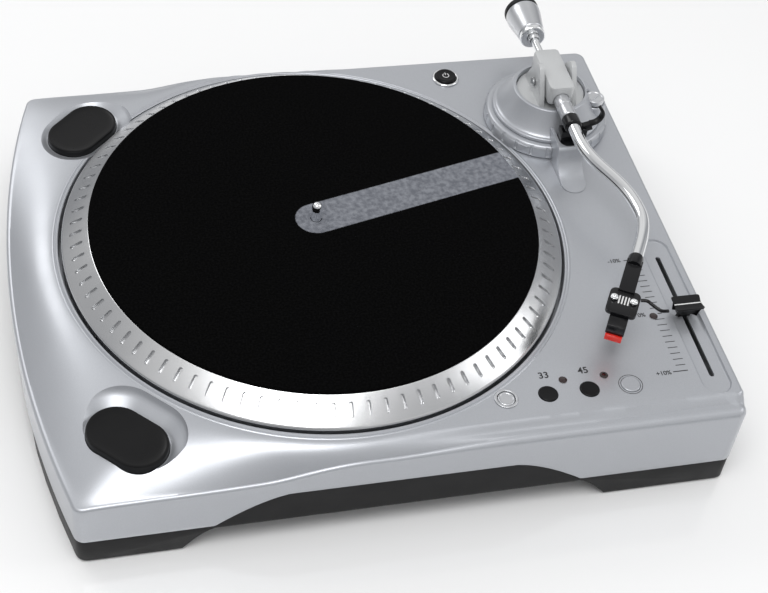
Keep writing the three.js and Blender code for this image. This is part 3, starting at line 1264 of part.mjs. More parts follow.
function buildArm() {
  const arm = new THREE.Group();
  arm.position.set(PIVOT_X, PIVOT_Y, 0);
  assembly.add(arm);
  const add = (name, body, look) => put(name, body, look, arm);
  add('arm_base', armBase(), 'silverPaint');
  add('arm_dome', armDome(), 'silverPaint');
  add('anti_skate_dial', antiSkateDial(), 'greyPlastic');
  add('arm_rest', armRest(), 'silverPaint');
  add('arm_cradle', armCradle(), 'blackPlastic');
  add('arm_lock', armLock(), 'blackPlastic');
  add('arm_yoke', armYoke(), 'greyPlastic');
  add('pivot_screw_left', pivotScrew(-1), 'steel');
  add('pivot_screw_right', pivotScrew(1), 'steel');
  add('pivot_block', pivotBlock(), 'greyPlastic');
  add('front_collar', frontCollar(), 'aluminium');
  add('rest_sleeve', restSleeve(), 'blackPlastic');
  add('arm_tube', armTube(), 'chrome');
  add('headshell', headshell(), 'blackPlastic');
  const [leftScrew, rightScrew] = headScrewPlaces();
  add('head_screw_left', headScrew(leftScrew), 'chrome');
  add('head_screw_right', headScrew(rightScrew), 'chrome');
  add('finger_lift', fingerLift(), 'blackPlastic');
  add('cartridge', cartridge(), 'blackPlastic');
  add('stylus_holder', stylusHolder(), 'red');
  add('rear_shaft', rearShaft(), 'chrome');
  add('weight_sleeve', weightSleeve(), 'steel');
  add('counterweight', counterweight(), 'silverPaint');
  add('weight_cap', weightCap(), 'rubber');
  add('weight_dial', weightDial(), 'chrome');
}

buildPlinth();
buildDrive();
buildControls();
buildRear();
buildArm();

// The origin is the bottom centre of the whole model's bounding box.
const bounds = new THREE.Box3().setFromObject(assembly);
const middle = bounds.getCenter(new THREE.Vector3());
assembly.position.set(-middle.x, -middle.y, -bounds.min.z);

const player = new THREE.Group();
player.add(assembly);

export default player;
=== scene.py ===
"""Looks of a belt-driven record player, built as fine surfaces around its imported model."""

from __future__ import annotations

import json
import logging
import math
from dataclasses import dataclass, field
from enum import Enum
from typing import Sequence

import bmesh
import bpy
import numpy as np
from mathutils import Euler, Matrix, Vector
from numpy.typing import NDArray


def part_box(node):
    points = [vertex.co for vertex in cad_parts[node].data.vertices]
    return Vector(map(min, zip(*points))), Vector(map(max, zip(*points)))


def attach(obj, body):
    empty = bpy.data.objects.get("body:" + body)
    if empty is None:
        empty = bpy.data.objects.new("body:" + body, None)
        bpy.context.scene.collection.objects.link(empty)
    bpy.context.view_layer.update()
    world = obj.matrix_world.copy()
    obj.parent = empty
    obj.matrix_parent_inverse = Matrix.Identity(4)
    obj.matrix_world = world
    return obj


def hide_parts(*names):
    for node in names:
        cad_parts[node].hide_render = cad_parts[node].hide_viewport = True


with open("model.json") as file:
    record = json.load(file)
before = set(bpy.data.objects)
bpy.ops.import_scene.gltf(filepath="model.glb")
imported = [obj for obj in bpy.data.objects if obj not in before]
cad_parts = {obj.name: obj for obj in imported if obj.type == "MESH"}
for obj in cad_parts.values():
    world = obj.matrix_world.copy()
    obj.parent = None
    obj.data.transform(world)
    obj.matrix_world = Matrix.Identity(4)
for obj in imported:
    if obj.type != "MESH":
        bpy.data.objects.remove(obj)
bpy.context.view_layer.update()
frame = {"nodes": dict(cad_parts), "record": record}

LOG = logging.getLogger("record_player")
Array = NDArray[np.float64]
MM = 0.001
SHARP = 32.0  # degrees between faces from which an edge stays crisp
SOFT_SHARP = 40.0  # the same for pieces with rounded edges
ABOVE = 99.0  # millimetres, over the whole deck, where cutters end
UNDER = 40.0  # millimetres, under the deck's skin, where they start
WELD = 2e-6  # metres within which a CAD node's points are one
UPRIGHT = (0.0, 0.0, 1.0)
Pair = tuple[float, float]
Triple = tuple[float, float, float]
Colour = Triple  # linear red, green and blue
Socket = bpy.types.NodeSocket


# ---------------------------------------------------------------- places


@dataclass(frozen=True)
class Anchor:
    """A point of the row frame that a sub-assembly is drawn from, in metres."""

    x: float
    y: float

    @classmethod
    def middle_of(cls, node: str) -> Anchor:
        """Returns the plan centre of a CAD node's box."""
        low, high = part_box(node)
        return cls((low.x + high.x) / 2, (low.y + high.y) / 2)

    def carry(self, points: Array) -> Array:
        """Carries millimetres from the anchor to metres of the row frame.

        Args:
            points: Points in millimetres, one row each.

        Returns:
            The same points in metres.
        """
        return points * MM + np.array([self.x, self.y, 0.0])

    def local(self, node: str) -> tuple[Array, Array]:
        """Returns the lowest and highest corner of a CAD node in millimetres from the anchor."""
        shift = np.array([self.x, self.y, 0.0])
        low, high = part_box(node)
        return (np.array(low) - shift) / MM, (np.array(high) - shift) / MM


BODIES = frame["record"]["behaviour"]["bodies"]
BODY_OF = {node: body for body, nodes in BODIES.items() for node in nodes}
SLOT_OF = {part["node"]: part["material_slot"] for part in frame["record"]["subparts"]}
SPINDLE = Anchor.middle_of("spindle")
PIVOT = Anchor.middle_of("arm_base")


# ---------------------------------------------------------------- surfaces from arrays


@dataclass(frozen=True)
class Skin:
    """A closed surface: points in millimetres and the faces over them."""

    points: Array
    faces: list[list[int]]

    def moved(self, x: float = 0.0, y: float = 0.0, z: float = 0.0) -> Skin:
        """Returns the surface shifted by x, y and z."""
        return Skin(self.points + np.array([x, y, z]), self.faces)

    def turned(self, axis: str, degrees: float) -> Skin:
        """Returns the surface turned about a main axis by the right-hand rule.

        Args:
            axis: One of X, Y and Z.
            degrees: The angle of the turn.

        Returns:
            The turned surface.
        """
        spin = np.array(Matrix.Rotation(math.radians(degrees), 3, axis))
        return Skin(self.points @ spin.T, self.faces)

    def joined(self, *others: Skin) -> Skin:
        """Returns this surface and the others as one list of points and faces."""
        points, faces = [self.points], list(self.faces)
        start = len(self.points)
        for other in others:
            faces += [[start + corner for corner in face] for face in other.faces]
            points.append(other.points)
            start += len(other.points)
        return Skin(np.vstack(points), faces)

    def outward(self) -> Skin:
        """Returns the surface with its faces turned outward.

        The enclosed volume is the sum over fans of each face of the box product
        of its corners divided by six, and its sign says which way the faces point.
        """
        volume = 0.0
        for size in {len(face) for face in self.faces}:
            group = np.array([face for face in self.faces if len(face) == size])
            first = self.points[group[:, 0]]
            for step in range(1, size - 1):
                second, third = self.points[group[:, step]], self.points[group[:, step + 1]]
                volume += float(np.einsum("ij,ij->", first, np.cross(second, third)))
        if volume >= 0:
            return self
        return Skin(self.points, [face[::-1] for face in self.faces])


def lattice(rows: int, columns: int, close_rows: bool = False) -> Array:
    """Four-sided faces over a grid of points whose columns always close on themselves.

    Args:
        rows: Number of rings of points.
        columns: Number of points in a ring.
        close_rows: Whether the last ring joins the first.

    Returns:
        One row of four point numbers for each face.
    """
    row = np.arange(rows if close_rows else rows - 1)[:, None]
    column = np.arange(columns)[None, :]
    after, beside = (row + 1) % rows, (column + 1) % columns
    here, there = row * columns, after * columns
    corners = [here + column, here + beside, there + beside, there + column]
    return np.stack(np.broadcast_arrays(*corners), axis=-1).reshape(-1, 4)


def wrapped(rings: Array, close_rows: bool = False) -> Skin:
    """Closed surface over rings of points.

    Open ends are closed by a fan of triangles to the mean point of their ring.

    Args:
        rings: Points as rings, points of a ring, and three coordinates.
        close_rows: Whether the last ring joins the first, as in a loop.

    Returns:
        The surface with outward faces.
    """
    rows, columns, _ = rings.shape
    faces = lattice(rows, columns, close_rows).tolist()
    points = rings.reshape(-1, 3)
    if not close_rows:
        around = np.arange(columns)
        beside = (around + 1) % columns
        low, high = rows * columns, rows * columns + 1
        last = (rows - 1) * columns
        faces += np.stack([beside, around, np.full(columns, low)], axis=1).tolist()
        faces += np.stack([last + around, last + beside, np.full(columns, high)], axis=1).tolist()
        points = np.vstack([points, rings[0].mean(axis=0), rings[-1].mean(axis=0)])
    return Skin(points, faces).outward()


def cubic(points: Sequence[Sequence[float]], steps: int) -> Array:
    """Points on a cubic Bezier arc over four control points."""
    a, b, c, d = (np.array(point, float) for point in points)
    t = np.linspace(0, 1, steps)[:, None]
    return (1 - t) ** 3 * a + 3 * t * (1 - t) ** 2 * b + 3 * t**2 * (1 - t) * c + t**3 * d


def filleted(
    profile: Sequence[Pair], radius: float, steps: int = 4, closed: bool = False
) -> Array:
    """Rounds every corner of a profile with a parabola arc.

    Each corner is replaced by the arc from a point before it to a point after it.
    Both points are radius away, or 0.45 of the shorter side where that is less.

    Args:
        profile: Corner pairs in order.
        radius: Distance from the corner at which the rounding starts.
        steps: Points on each arc.
        closed: Whether the profile is a loop.

    Returns:
        The rounded profile.
    """
    corner = np.array(profile, float)
    before, after = np.roll(corner, 1, axis=0), np.roll(corner, -1, axis=0)
    back, ahead = before - corner, after - corner
    back_length = np.linalg.norm(back, axis=1, keepdims=True)
    ahead_length = np.linalg.norm(ahead, axis=1, keepdims=True)
    reach = np.minimum(radius, 0.45 * np.minimum(back_length, ahead_length))
    start = corner + back / np.maximum(back_length, 1e-9) * reach
    end = corner + ahead / np.maximum(ahead_length, 1e-9) * reach
    t = np.linspace(0, 1, steps)[None, :, None]
    arcs = (1 - t) ** 2 * start[:, None] + 2 * t * (1 - t) * corner[:, None] + t**2 * end[:, None]
    if closed:
        return arcs.reshape(-1, 2)
    return np.vstack([corner[:1], arcs[1:-1].reshape(-1, 2), corner[-1:]])


def run_along(line: Array) -> Array:
    """Distance along a line at each of its points."""
    return np.concatenate([[0], np.cumsum(np.linalg.norm(np.diff(line, axis=0), axis=1))])


def taken_at(line: Array, run: Array, place: Array) -> Array:
    """Points of a line at given distances along it."""
    return np.stack([np.interp(place, run, line[:, axis]) for axis in (0, 1)], axis=1)


def around(profile: Array, segments: int) -> Array:
    """Rings of a profile of radius and height pairs turned about the Z axis."""
    angle = np.linspace(0, 2 * math.pi, segments, endpoint=False)[None, :]
    radius, height = profile[:, :1], profile[:, 1:]
    flat = [radius * np.cos(angle), radius * np.sin(angle), height + 0 * angle]
    return np.stack(flat, axis=-1)


def lathe(
    profile: Sequence[Pair], segments: int = 96, rounding: float = 0.3, ring: bool = False
) -> Skin:
    """Turned surface about the Z axis.

    Args:
        profile: Radius and height pairs; an open profile starts and ends off the axis
            and gets a flat end there.
        segments: Number of steps round the axis.
        rounding: Size of the rounding at each corner.
        ring: Whether the profile is a loop, as for a tube or a washer.

    Returns:
        The closed surface.
    """
    return wrapped(around(filleted(profile, rounding, closed=ring), segments), ring)


def lathe_along_y(profile: Sequence[Pair], height: float, **options: float) -> Skin:
    """Turned surface about a line along Y at a height, from radius and y pairs."""
    return lathe(profile, **options).turned("X", -90).moved(z=height)


def stadium(length: float, width: float, count: int = 96) -> Array:
    """Outline of a slot with round ends, lying along X."""
    angle = np.linspace(0, 2 * math.pi, count, endpoint=False) + math.pi / count
    half, radius = length / 2 - width / 2, width / 2
    across = np.sign(np.cos(angle)) * half + radius * np.cos(angle)
    return np.stack([across, radius * np.sin(angle)], axis=1)


def rounded_box(width: float, depth: float, corner: float, steps: int = 8) -> Array:
    """Outline of a rectangle with round corners, from four quarter circles."""
    angle = np.linspace(0, math.pi / 2, steps)
    quarter = np.stack([np.cos(angle), np.sin(angle)], axis=1) * corner
    quarters = [(math.cos(a), math.sin(a)) for a in np.arange(4) * math.pi / 2]
    turns = [np.array([[cosine, sine], [-sine, cosine]]) for cosine, sine in quarters]
    centres = np.array([[1, 1], [-1, 1], [-1, -1], [1, -1]]) * [width / 2 - corner, depth / 2 - corner]
    return np.vstack([quarter @ turn + centre for turn, centre in zip(turns, centres)])


def drawn_in(outline: Array, inset: float) -> Array:
    """Moves an outline inward along its normals by inset, or outward where that is negative."""
    along = np.roll(outline, -1, axis=0) - np.roll(outline, 1, axis=0)
    along /= np.maximum(np.linalg.norm(along, axis=1, keepdims=True), 1e-9)
    inward = np.stack([-along[:, 1], along[:, 0]], axis=1)
    return outline + inward * inset


def loft(outline: Array, insets: Sequence[float], heights: Sequence[float]) -> Skin:
    """Closed surface over copies of an outline, each drawn in by its inset at its height."""
    rings = [
        np.column_stack([drawn_in(outline, inset), np.full(len(outline), height)])
        for inset, height in zip(insets, heights)
    ]
    return wrapped(np.stack(rings))


def stacked(outline: Array, level: float, steps: Sequence[Pair]) -> Skin:
    """Closed surface over an outline, from pairs of inset and height above a level."""
    return loft(outline, [inset for inset, _ in steps], [level + rise for _, rise in steps])


def tube(path: Array, radius: Array | float, sides: int = 32) -> Skin:
    """Round tube along a path that never runs straight up.

    At each point the section's axes are the level direction across the path
    and the direction square to both.

    Args:
        path: Points of the centre line.
        radius: One radius, or one for each point.
        sides: Points round the section.

    Returns:
        The closed tube.
    """
    along = np.gradient(path, axis=0)
    along /= np.linalg.norm(along, axis=1, keepdims=True)
    across = np.cross(along, UPRIGHT)
    across /= np.linalg.norm(across, axis=1, keepdims=True)
    upward = np.cross(across, along)
    angle = np.linspace(0, 2 * math.pi, sides, endpoint=False)[None, :, None]
    size = np.broadcast_to(np.asarray(radius, float), (len(path),))[:, None, None]
    section = np.cos(angle) * across[:, None] + np.sin(angle) * upward[:, None]
    return wrapped(path[:, None] + size * section)


def smooth(value: Array | float) -> Array:
    """Smooth step: 3 value squared less 2 value cubed, held between 0 and 1."""
    held = np.clip(value, 0, 1)
    return held * held * (3 - 2 * held)


def blend(a: Array | float, b: Array | float, share: Array | float) -> Array:
    """Straight mix of a and b."""
    return a + (b - a) * share


# ---------------------------------------------------------------- shader building


class Shader:
    """A material whose shading nodes are added one at a time."""

    def __init__(self, name: str, colour: Colour, roughness: float, metallic: float) -> None:
        """Starts a material with one surface shader.

        Args:
            name: The finish's name.
            colour: Linear red, green and blue.
            roughness: The shader's roughness.
            metallic: The share of metal.
        """
        self.material = bpy.data.materials.new(name)
        self.material.use_nodes = True
        self.tree = self.material.node_tree
        self.surface = self.tree.nodes["Principled BSDF"]
        self.set("Base Color", (*colour, 1.0))
        self.set("Roughness", roughness)
        self.set("Metallic", metallic)
        self.material.diffuse_color = (*colour, 1.0)
        self.place = self.node("ShaderNodeTexCoord").outputs["Object"]

    def node(self, kind: str, **settings: object) -> bpy.types.Node:
        """Adds a node of a kind and sets its plain settings."""
        made = self.tree.nodes.new(kind)
        for name, value in settings.items():
            setattr(made, name, value)
        return made

    def set(self, socket: str, value: object) -> None:
        """Sets a uniform value on the surface shader's own socket."""
        self.surface.inputs[socket].default_value = value

    def link(self, source: Socket, target: Socket) -> None:
        """Joins two sockets."""
        self.tree.links.new(source, target)

    def moved(self, location: Triple, turn: float = 0.0, scale: Triple = (1, 1, 1)) -> Socket:
        """Object coordinates seen from a location, turned about Z and scaled.

        Args:
            location: The new origin in metres.
            turn: Angle of the new X axis in radians.
            scale: Factors along the new axes.

        Returns:
            The socket with the new coordinates.
        """
        shift = self.node("ShaderNodeVectorMath", operation="SUBTRACT")
        self.link(self.place, shift.inputs[0])
        shift.inputs[1].default_value = location
        spin = self.node("ShaderNodeMapping", vector_type="POINT")
        spin.inputs["Rotation"].default_value = (0, 0, -turn)
        self.link(shift.outputs[0], spin.inputs["Vector"])
        stretch = self.node("ShaderNodeVectorMath", operation="MULTIPLY")
        self.link(spin.outputs[0], stretch.inputs[0])
        stretch.inputs[1].default_value = scale
        return stretch.outputs[0]

    def noise(self, scale: float, detail: float = 2.0, place: Socket | None = None) -> Socket:
        """Soft random pattern.

        Args:
            scale: Waves per metre.
            detail: Number of finer layers.
            place: Coordinates, or the object's own where left out.

        Returns:
            The socket with values from 0 to 1.
        """
        made = self.node("ShaderNodeTexNoise")
        made.inputs["Scale"].default_value = scale
        made.inputs["Detail"].default_value = detail
        self.link(place or self.place, made.inputs["Vector"])
        return made.outputs[0]

    def math(self, operation: str, *values: Socket | float) -> Socket:
        """Adds one sum on sockets or plain numbers and returns its result."""
        made = self.node("ShaderNodeMath", operation=operation)
        for socket, value in zip(made.inputs, values):
            if isinstance(value, Socket):
                self.link(value, socket)
            else:
                socket.default_value = value
        return made.outputs[0]

    def plan(self, place: Socket) -> tuple[Socket, Socket]:
        """Splits coordinates and returns the first two."""
        split = self.node("ShaderNodeSeparateXYZ")
        self.link(place, split.inputs[0])
        return split.outputs[0], split.outputs[1]

    def length(self, x: Socket, y: Socket) -> Socket:
        """Square root of x squared plus y squared."""
        squares = [self.math("POWER", side, 2.0) for side in (x, y)]
        return self.math("SQRT", self.math("ADD", *squares))

    def spread(
        self, value: Socket, low: float, high: float, start: float = 0.3, end: float = 0.7
    ) -> Socket:
        """Carries values between start and end to low and high."""
        made = self.node("ShaderNodeMapRange")
        self.link(value, made.inputs["Value"])
        for name, number in {"From Min": start, "From Max": end, "To Min": low, "To Max": high}.items():
            made.inputs[name].default_value = number
        return made.outputs[0]

    def tint(self, value: Socket, first: Colour | Socket, second: Colour | Socket) -> Socket:
        """Mixes two colours by a value and returns the colour."""
        made = self.node("ShaderNodeMix", data_type="RGBA")
        self.link(value, made.inputs[0])
        for socket, colour in ((made.inputs[6], first), (made.inputs[7], second)):
            if isinstance(colour, Socket):
                self.link(colour, socket)
            else:
                socket.default_value = (*colour, 1.0)
        return made.outputs[2]

    def colour(self, value: Socket) -> None:
        """Joins a varying colour to the surface."""
        self.link(value, self.surface.inputs["Base Color"])

    def roughen(self, value: Socket) -> None:
        """Joins a varying roughness to the surface."""
        self.link(value, self.surface.inputs["Roughness"])

    def relief(self, height: Socket, depth_mm: float, strength: float = 1.0) -> None:
        """Adds fine relief of a depth on top of any relief already there."""
        bump = self.node("ShaderNodeBump")
        bump.inputs["Strength"].default_value = strength
        bump.inputs["Distance"].default_value = depth_mm * MM
        self.link(height, bump.inputs["Height"])
        normal = self.surface.inputs["Normal"]
        if normal.is_linked:
            self.link(normal.links[0].from_socket, bump.inputs["Normal"])
        self.link(bump.outputs[0], normal)


@dataclass(frozen=True)
class Finish:
    """A plain finish with slight variation of colour and gloss and a fine surface grain."""

    name: str
    colour: Colour
    roughness: float = 0.4
    metallic: float = 0.0
    grain: float = 900.0  # waves per metre
    grain_depth: float = 0.01  # millimetres
    variation: float = 0.08
    coat: float = 0.0
    specular: float = 0.5

    def start(self) -> Shader:
        """Makes the shader with the finish's uniform values."""
        shader = Shader(self.name, self.colour, self.roughness, self.metallic)
        shader.set("Coat Weight", self.coat)
        shader.set("Coat Roughness", 0.12)
        shader.set("Specular IOR Level", self.specular)
        return shader

    def shade(self, change: float) -> Colour:
        """Returns the colour made lighter by a share, or darker where that is negative."""
        return tuple(min(1.0, channel * (1 + change)) for channel in self.colour)

    def gloss(self, shader: Shader, pattern: Socket, change: float) -> None:
        """Lets the roughness follow a pattern by a share either way."""
        low, high = self.roughness * (1 - change), self.roughness * (1 + change)
        shader.roughen(shader.spread(pattern, low, high))

    def vary(self, shader: Shader) -> None:
        """Adds slow changes of colour and gloss, as from handling and moulding."""
        slow = shader.spread(shader.noise(28.0, 3.0), 0.0, 1.0)
        shader.colour(shader.tint(slow, self.shade(-self.variation), self.shade(self.variation)))
        self.gloss(shader, shader.noise(60.0, 4.0), 0.12)

    def build(self) -> bpy.types.Material:
        """Returns the finished material."""
        shader = self.start()
        self.vary(shader)
        shader.relief(shader.noise(self.grain, 3.0), self.grain_depth)
        return shader.material


@dataclass(frozen=True)
class MetallicPaint(Finish):
    """Silver paint: metal flakes under a thin clear coat."""

    flake: float = 2600.0

    def build(self) -> bpy.types.Material:
        """Returns the paint, with flakes as fine specks of brightness and orange peel as relief."""
        shader = self.start()
        specks = shader.spread(shader.noise(self.flake, 1.0), 0.0, 1.0, 0.35, 0.65)
        shader.colour(shader.tint(specks, self.shade(-self.variation), self.shade(self.variation)))
        self.gloss(shader, shader.noise(45.0, 3.0), 0.06)
        shader.relief(shader.noise(self.grain, 2.0), self.grain_depth)
        return shader.material


@dataclass(frozen=True)
class TurnedMetal(Finish):
    """Metal turned on a lathe: fine rings round the spindle that stretch its highlights."""

    rings: float = 2600.0
    stretch: float = 0.8

    def build(self) -> bpy.types.Material:
        """Returns the metal, with grooves as noise on the distance from the spindle."""
        shader = self.start()
        x, y = shader.plan(shader.moved((SPINDLE.x, SPINDLE.y, 0.0)))
        line = shader.node("ShaderNodeCombineXYZ")
        shader.link(shader.length(x, y), line.inputs[0])
        grooves = shader.noise(self.rings, 3.0, line.outputs[0])
        shader.relief(grooves, self.grain_depth, 0.3)
        self.gloss(shader, grooves, 0.1)
        cloud = shader.spread(shader.noise(20.0, 3.0), 0.0, 1.0)
        shader.colour(shader.tint(cloud, self.shade(-self.variation), self.colour))
        tangent = shader.node("ShaderNodeTangent", direction_type="RADIAL", axis="Z")
        shader.link(tangent.outputs[0], shader.surface.inputs["Tangent"])
        shader.set("Anisotropic", self.stretch)
        return shader.material


@dataclass(frozen=True)
class BrushedMetal(Finish):
    """Metal with fine lines along one axis."""

    along: Triple = (1.0, 0.04, 1.0)

    def build(self) -> bpy.types.Material:
        """Returns the metal, with lines as noise squeezed along the brushing."""
        shader = self.start()
        lines = shader.noise(self.grain, 2.0, shader.moved((0.0, 0.0, 0.0), scale=self.along))
        shader.relief(lines, self.grain_depth, 0.5)
        self.gloss(shader, lines, 0.2)
        slow = shader.spread(shader.noise(35.0, 2.0), 0.0, 1.0)
        shader.colour(shader.tint(slow, self.shade(-self.variation), self.colour))
        return shader.material


@dataclass(frozen=True)
class PrintedFelt(Finish):
    """Black felt with a mottled grey stripe that starts round at the spindle."""

    stripe_turn: float = 14.0  # degrees from the X axis
    stripe_half_width: float = 14.0  # millimetres
    stripe_light: Colour = (0.225, 0.235, 0.26)
    stripe_dark: Colour = (0.135, 0.142, 0.162)

    def build(self) -> bpy.types.Material:
        """Returns the felt.

        The stripe is where the distance to a half line from the spindle is less than its half
        width: the length of the point's (least of u and 0, v), with u along and v across it.
        """
        shader = self.start()
        place = (SPINDLE.x, SPINDLE.y, 0.0)
        u, v = shader.plan(shader.moved(place, math.radians(self.stripe_turn)))
        distance = shader.length(shader.math("MINIMUM", u, 0.0), v)
        half = self.stripe_half_width * MM
        fraying, fading = 0.9 * MM, 0.6 * MM
        edge = shader.math("MULTIPLY_ADD", shader.noise(1400.0, 2.0), fraying, distance)
        inside = shader.spread(edge, 1.0, 0.0, half, half + fading)
        mottle = shader.spread(shader.noise(330.0, 5.0), 0.0, 1.0, 0.36, 0.66)
        grey = shader.tint(mottle, self.stripe_dark, self.stripe_light)
        lint = shader.spread(shader.noise(700.0, 4.0), 0.0, 1.0, 0.4, 0.75)
        black = shader.tint(lint, self.shade(-0.45), self.shade(0.7))
        shader.colour(shader.tint(inside, black, grey))
        fibres = shader.noise(1500.0, 4.0)
        weave = shader.noise(900.0, 1.0, shader.moved((0.0, 0.0, 0.0), scale=(0.12, 1.0, 1.0)))
        shader.relief(shader.math("ADD", fibres, shader.math("MULTIPLY", weave, 0.8)), self.grain_depth)
        return shader.material


@dataclass(frozen=True)
class Leather(Finish):
    """Moulded plastic with a pebbled grain."""

    def build(self) -> bpy.types.Material:
        """Returns the plastic, with the grain as rounded cells."""
        shader = self.start()
        self.vary(shader)
        cells = shader.node("ShaderNodeTexVoronoi", feature="SMOOTH_F1")
        cells.inputs["Scale"].default_value = self.grain
        shader.link(shader.place, cells.inputs["Vector"])
        shader.relief(cells.outputs["Distance"], self.grain_depth)
        return shader.material


class Look(Enum):
    """The finishes of the record player.

    Each gives its name, colour, roughness and metal, then its grain, grain depth,
    variation, coat and specular level as Finish has them.
    """

    SILVER = MetallicPaint("silver_paint", (0.47, 0.485, 0.515), 0.36, 0.58, 700.0, 0.003, 0.04, 0.2)
    SILVER_SATIN = MetallicPaint("silver_satin", (0.6, 0.61, 0.63), 0.3, 0.8, 700.0, 0.004, 0.04, 0.2)
    BASE_BLACK = Leather("base_black", (0.011, 0.011, 0.0115), 0.5, 0.0, 1300.0, 0.05, 0.1, 0.0, 0.25)
    SATIN_BLACK = Finish(
        "button_black", (0.0045, 0.0045, 0.005), 0.3, 0.0, 1500.0, 0.006, 0.1, 0.0, 0.22
    )
    GLOSS_BLACK = Finish("gloss_black", (0.005, 0.005, 0.006), 0.2, 0.0, 400.0, 0.003, 0.08, 0.1, 0.3)
    MATT_BLACK = Finish("matt_black", (0.008, 0.008, 0.009), 0.42, 0.0, 1800.0, 0.01, 0.12, 0.0, 0.25)
    LIGHT_GREY = Finish("light_grey", (0.56, 0.57, 0.575), 0.36, 0.25, 1600.0, 0.006, 0.03, 0.1)
    PLATTER = TurnedMetal("turned_aluminium", (0.66, 0.665, 0.675), 0.21, 1.0, 900.0, 0.0015, 0.05)
    ALUMINIUM = BrushedMetal("satin_aluminium", (0.8, 0.81, 0.82), 0.26, 1.0, 2200.0, 0.004, 0.06)
    CHROME = Finish("chrome", (0.88, 0.89, 0.9), 0.06, 1.0, 120.0, 0.002, 0.02)
    STEEL = BrushedMetal("steel", (0.56, 0.57, 0.58), 0.32, 1.0, 1500.0, 0.006, 0.12)
    BRASS = BrushedMetal("brass", (0.7, 0.5, 0.2), 0.3, 1.0, 1500.0, 0.004, 0.12)
    FELT = PrintedFelt("felt", (0.0022, 0.0022, 0.0023), 0.95, 0.0, 1500.0, 0.12, 0.2, specular=0.03)
    RUBBER = Leather("rubber", (0.014, 0.014, 0.014), 0.7, 0.0, 900.0, 0.04, 0.15)
    BOARD = Finish("board", (0.02, 0.09, 0.035), 0.45, 0.0, 600.0, 0.02, 0.25, 0.2)
    RED = Finish("red_plastic", (0.72, 0.022, 0.012), 0.24, 0.0, 700.0, 0.004, 0.08, 0.3)
    WHITE = Finish("socket_white", (0.72, 0.71, 0.68), 0.32, 0.0, 700.0, 0.004, 0.05)
    LENS = Finish("led_lens", (0.016, 0.005, 0.005), 0.12, 0.0, 300.0, 0.003, 0.2, 0.6)
    INK = Finish("print_ink", (0.018, 0.018, 0.02), 0.5, 0.0, 2500.0, 0.01, 0.2)
    PALE_INK = Finish("pale_ink", (0.75, 0.75, 0.75), 0.45, 0.0, 2500.0, 0.01, 0.05)


class Palette:
    """Keeps one built material for each look."""

    def __init__(self) -> None:
        """Starts with no material built."""
        self.made: dict[Look, bpy.types.Material] = {}

    def __getitem__(self, look: Look) -> bpy.types.Material:
        """Returns the look's material, building it the first time."""
        if look not in self.made:
            self.made[look] = look.value.build()
        return self.made[look]


PALETTE = Palette()


# ---------------------------------------------------------------- pieces


def shaded(mesh: bpy.types.Mesh, sharp: float = SHARP) -> bpy.types.Mesh:
    """Shades a mesh smooth but for edges sharper than an angle in degrees."""
    mesh.polygons.foreach_set("use_smooth", np.ones(len(mesh.polygons), bool))
    mesh.set_sharp_from_angle(angle=math.radians(sharp))
    mesh.update()
    return mesh


def mesh_of(name: str, skin: Skin, anchor: Anchor) -> bpy.types.Mesh:
    """Puts a surface into a Blender mesh in the row frame."""
    mesh = bpy.data.meshes.new(name)
    mesh.from_pydata(anchor.carry(skin.points).tolist(), [], skin.faces)
    mesh.validate()
    return mesh


def linked(name: str, mesh: bpy.types.Mesh) -> bpy.types.Object:
    """Makes an object at the origin for a mesh."""
    made = bpy.data.objects.new(name, mesh)
    bpy.context.scene.collection.objects.link(made)
    return made


def settled(piece: bpy.types.Object) -> bpy.types.Mesh:
    """Returns a piece's mesh with its modifiers worked in."""
    graph = bpy.context.evaluated_depsgraph_get()
    graph.update()
    return bpy.data.meshes.new_from_object(piece.evaluated_get(graph))


def carved(start: bpy.types.Mesh, steps: Sequence[tuple[str, Skin]], anchor: Anchor) -> bpy.types.Mesh:
    """Joins surfaces to a solid or cuts them from it, one after another.

    Args:
        start: The solid's mesh in the row frame.
        steps: Pairs of UNION, DIFFERENCE or INTERSECT and the surface used.
        anchor: Where the surfaces are drawn from.

    Returns:
        The resulting mesh.
    """
    target = linked("carved", start)
    tools = []
    for kind, skin in steps:
        tool = linked("tool", mesh_of("tool", skin, anchor))
        tools.append(tool)
        step = target.modifiers.new(kind.lower(), "BOOLEAN")
        step.operation, step.object, step.solver = kind, tool, "MANIFOLD"
    mesh = settled(target)
    for used in [target, *tools]:
        bpy.data.objects.remove(used)
    return mesh


def cutting(*skins: Skin) -> list[tuple[str, Skin]]:
    """Steps for carved that cut each surface away."""
    return [("DIFFERENCE", skin) for skin in skins]


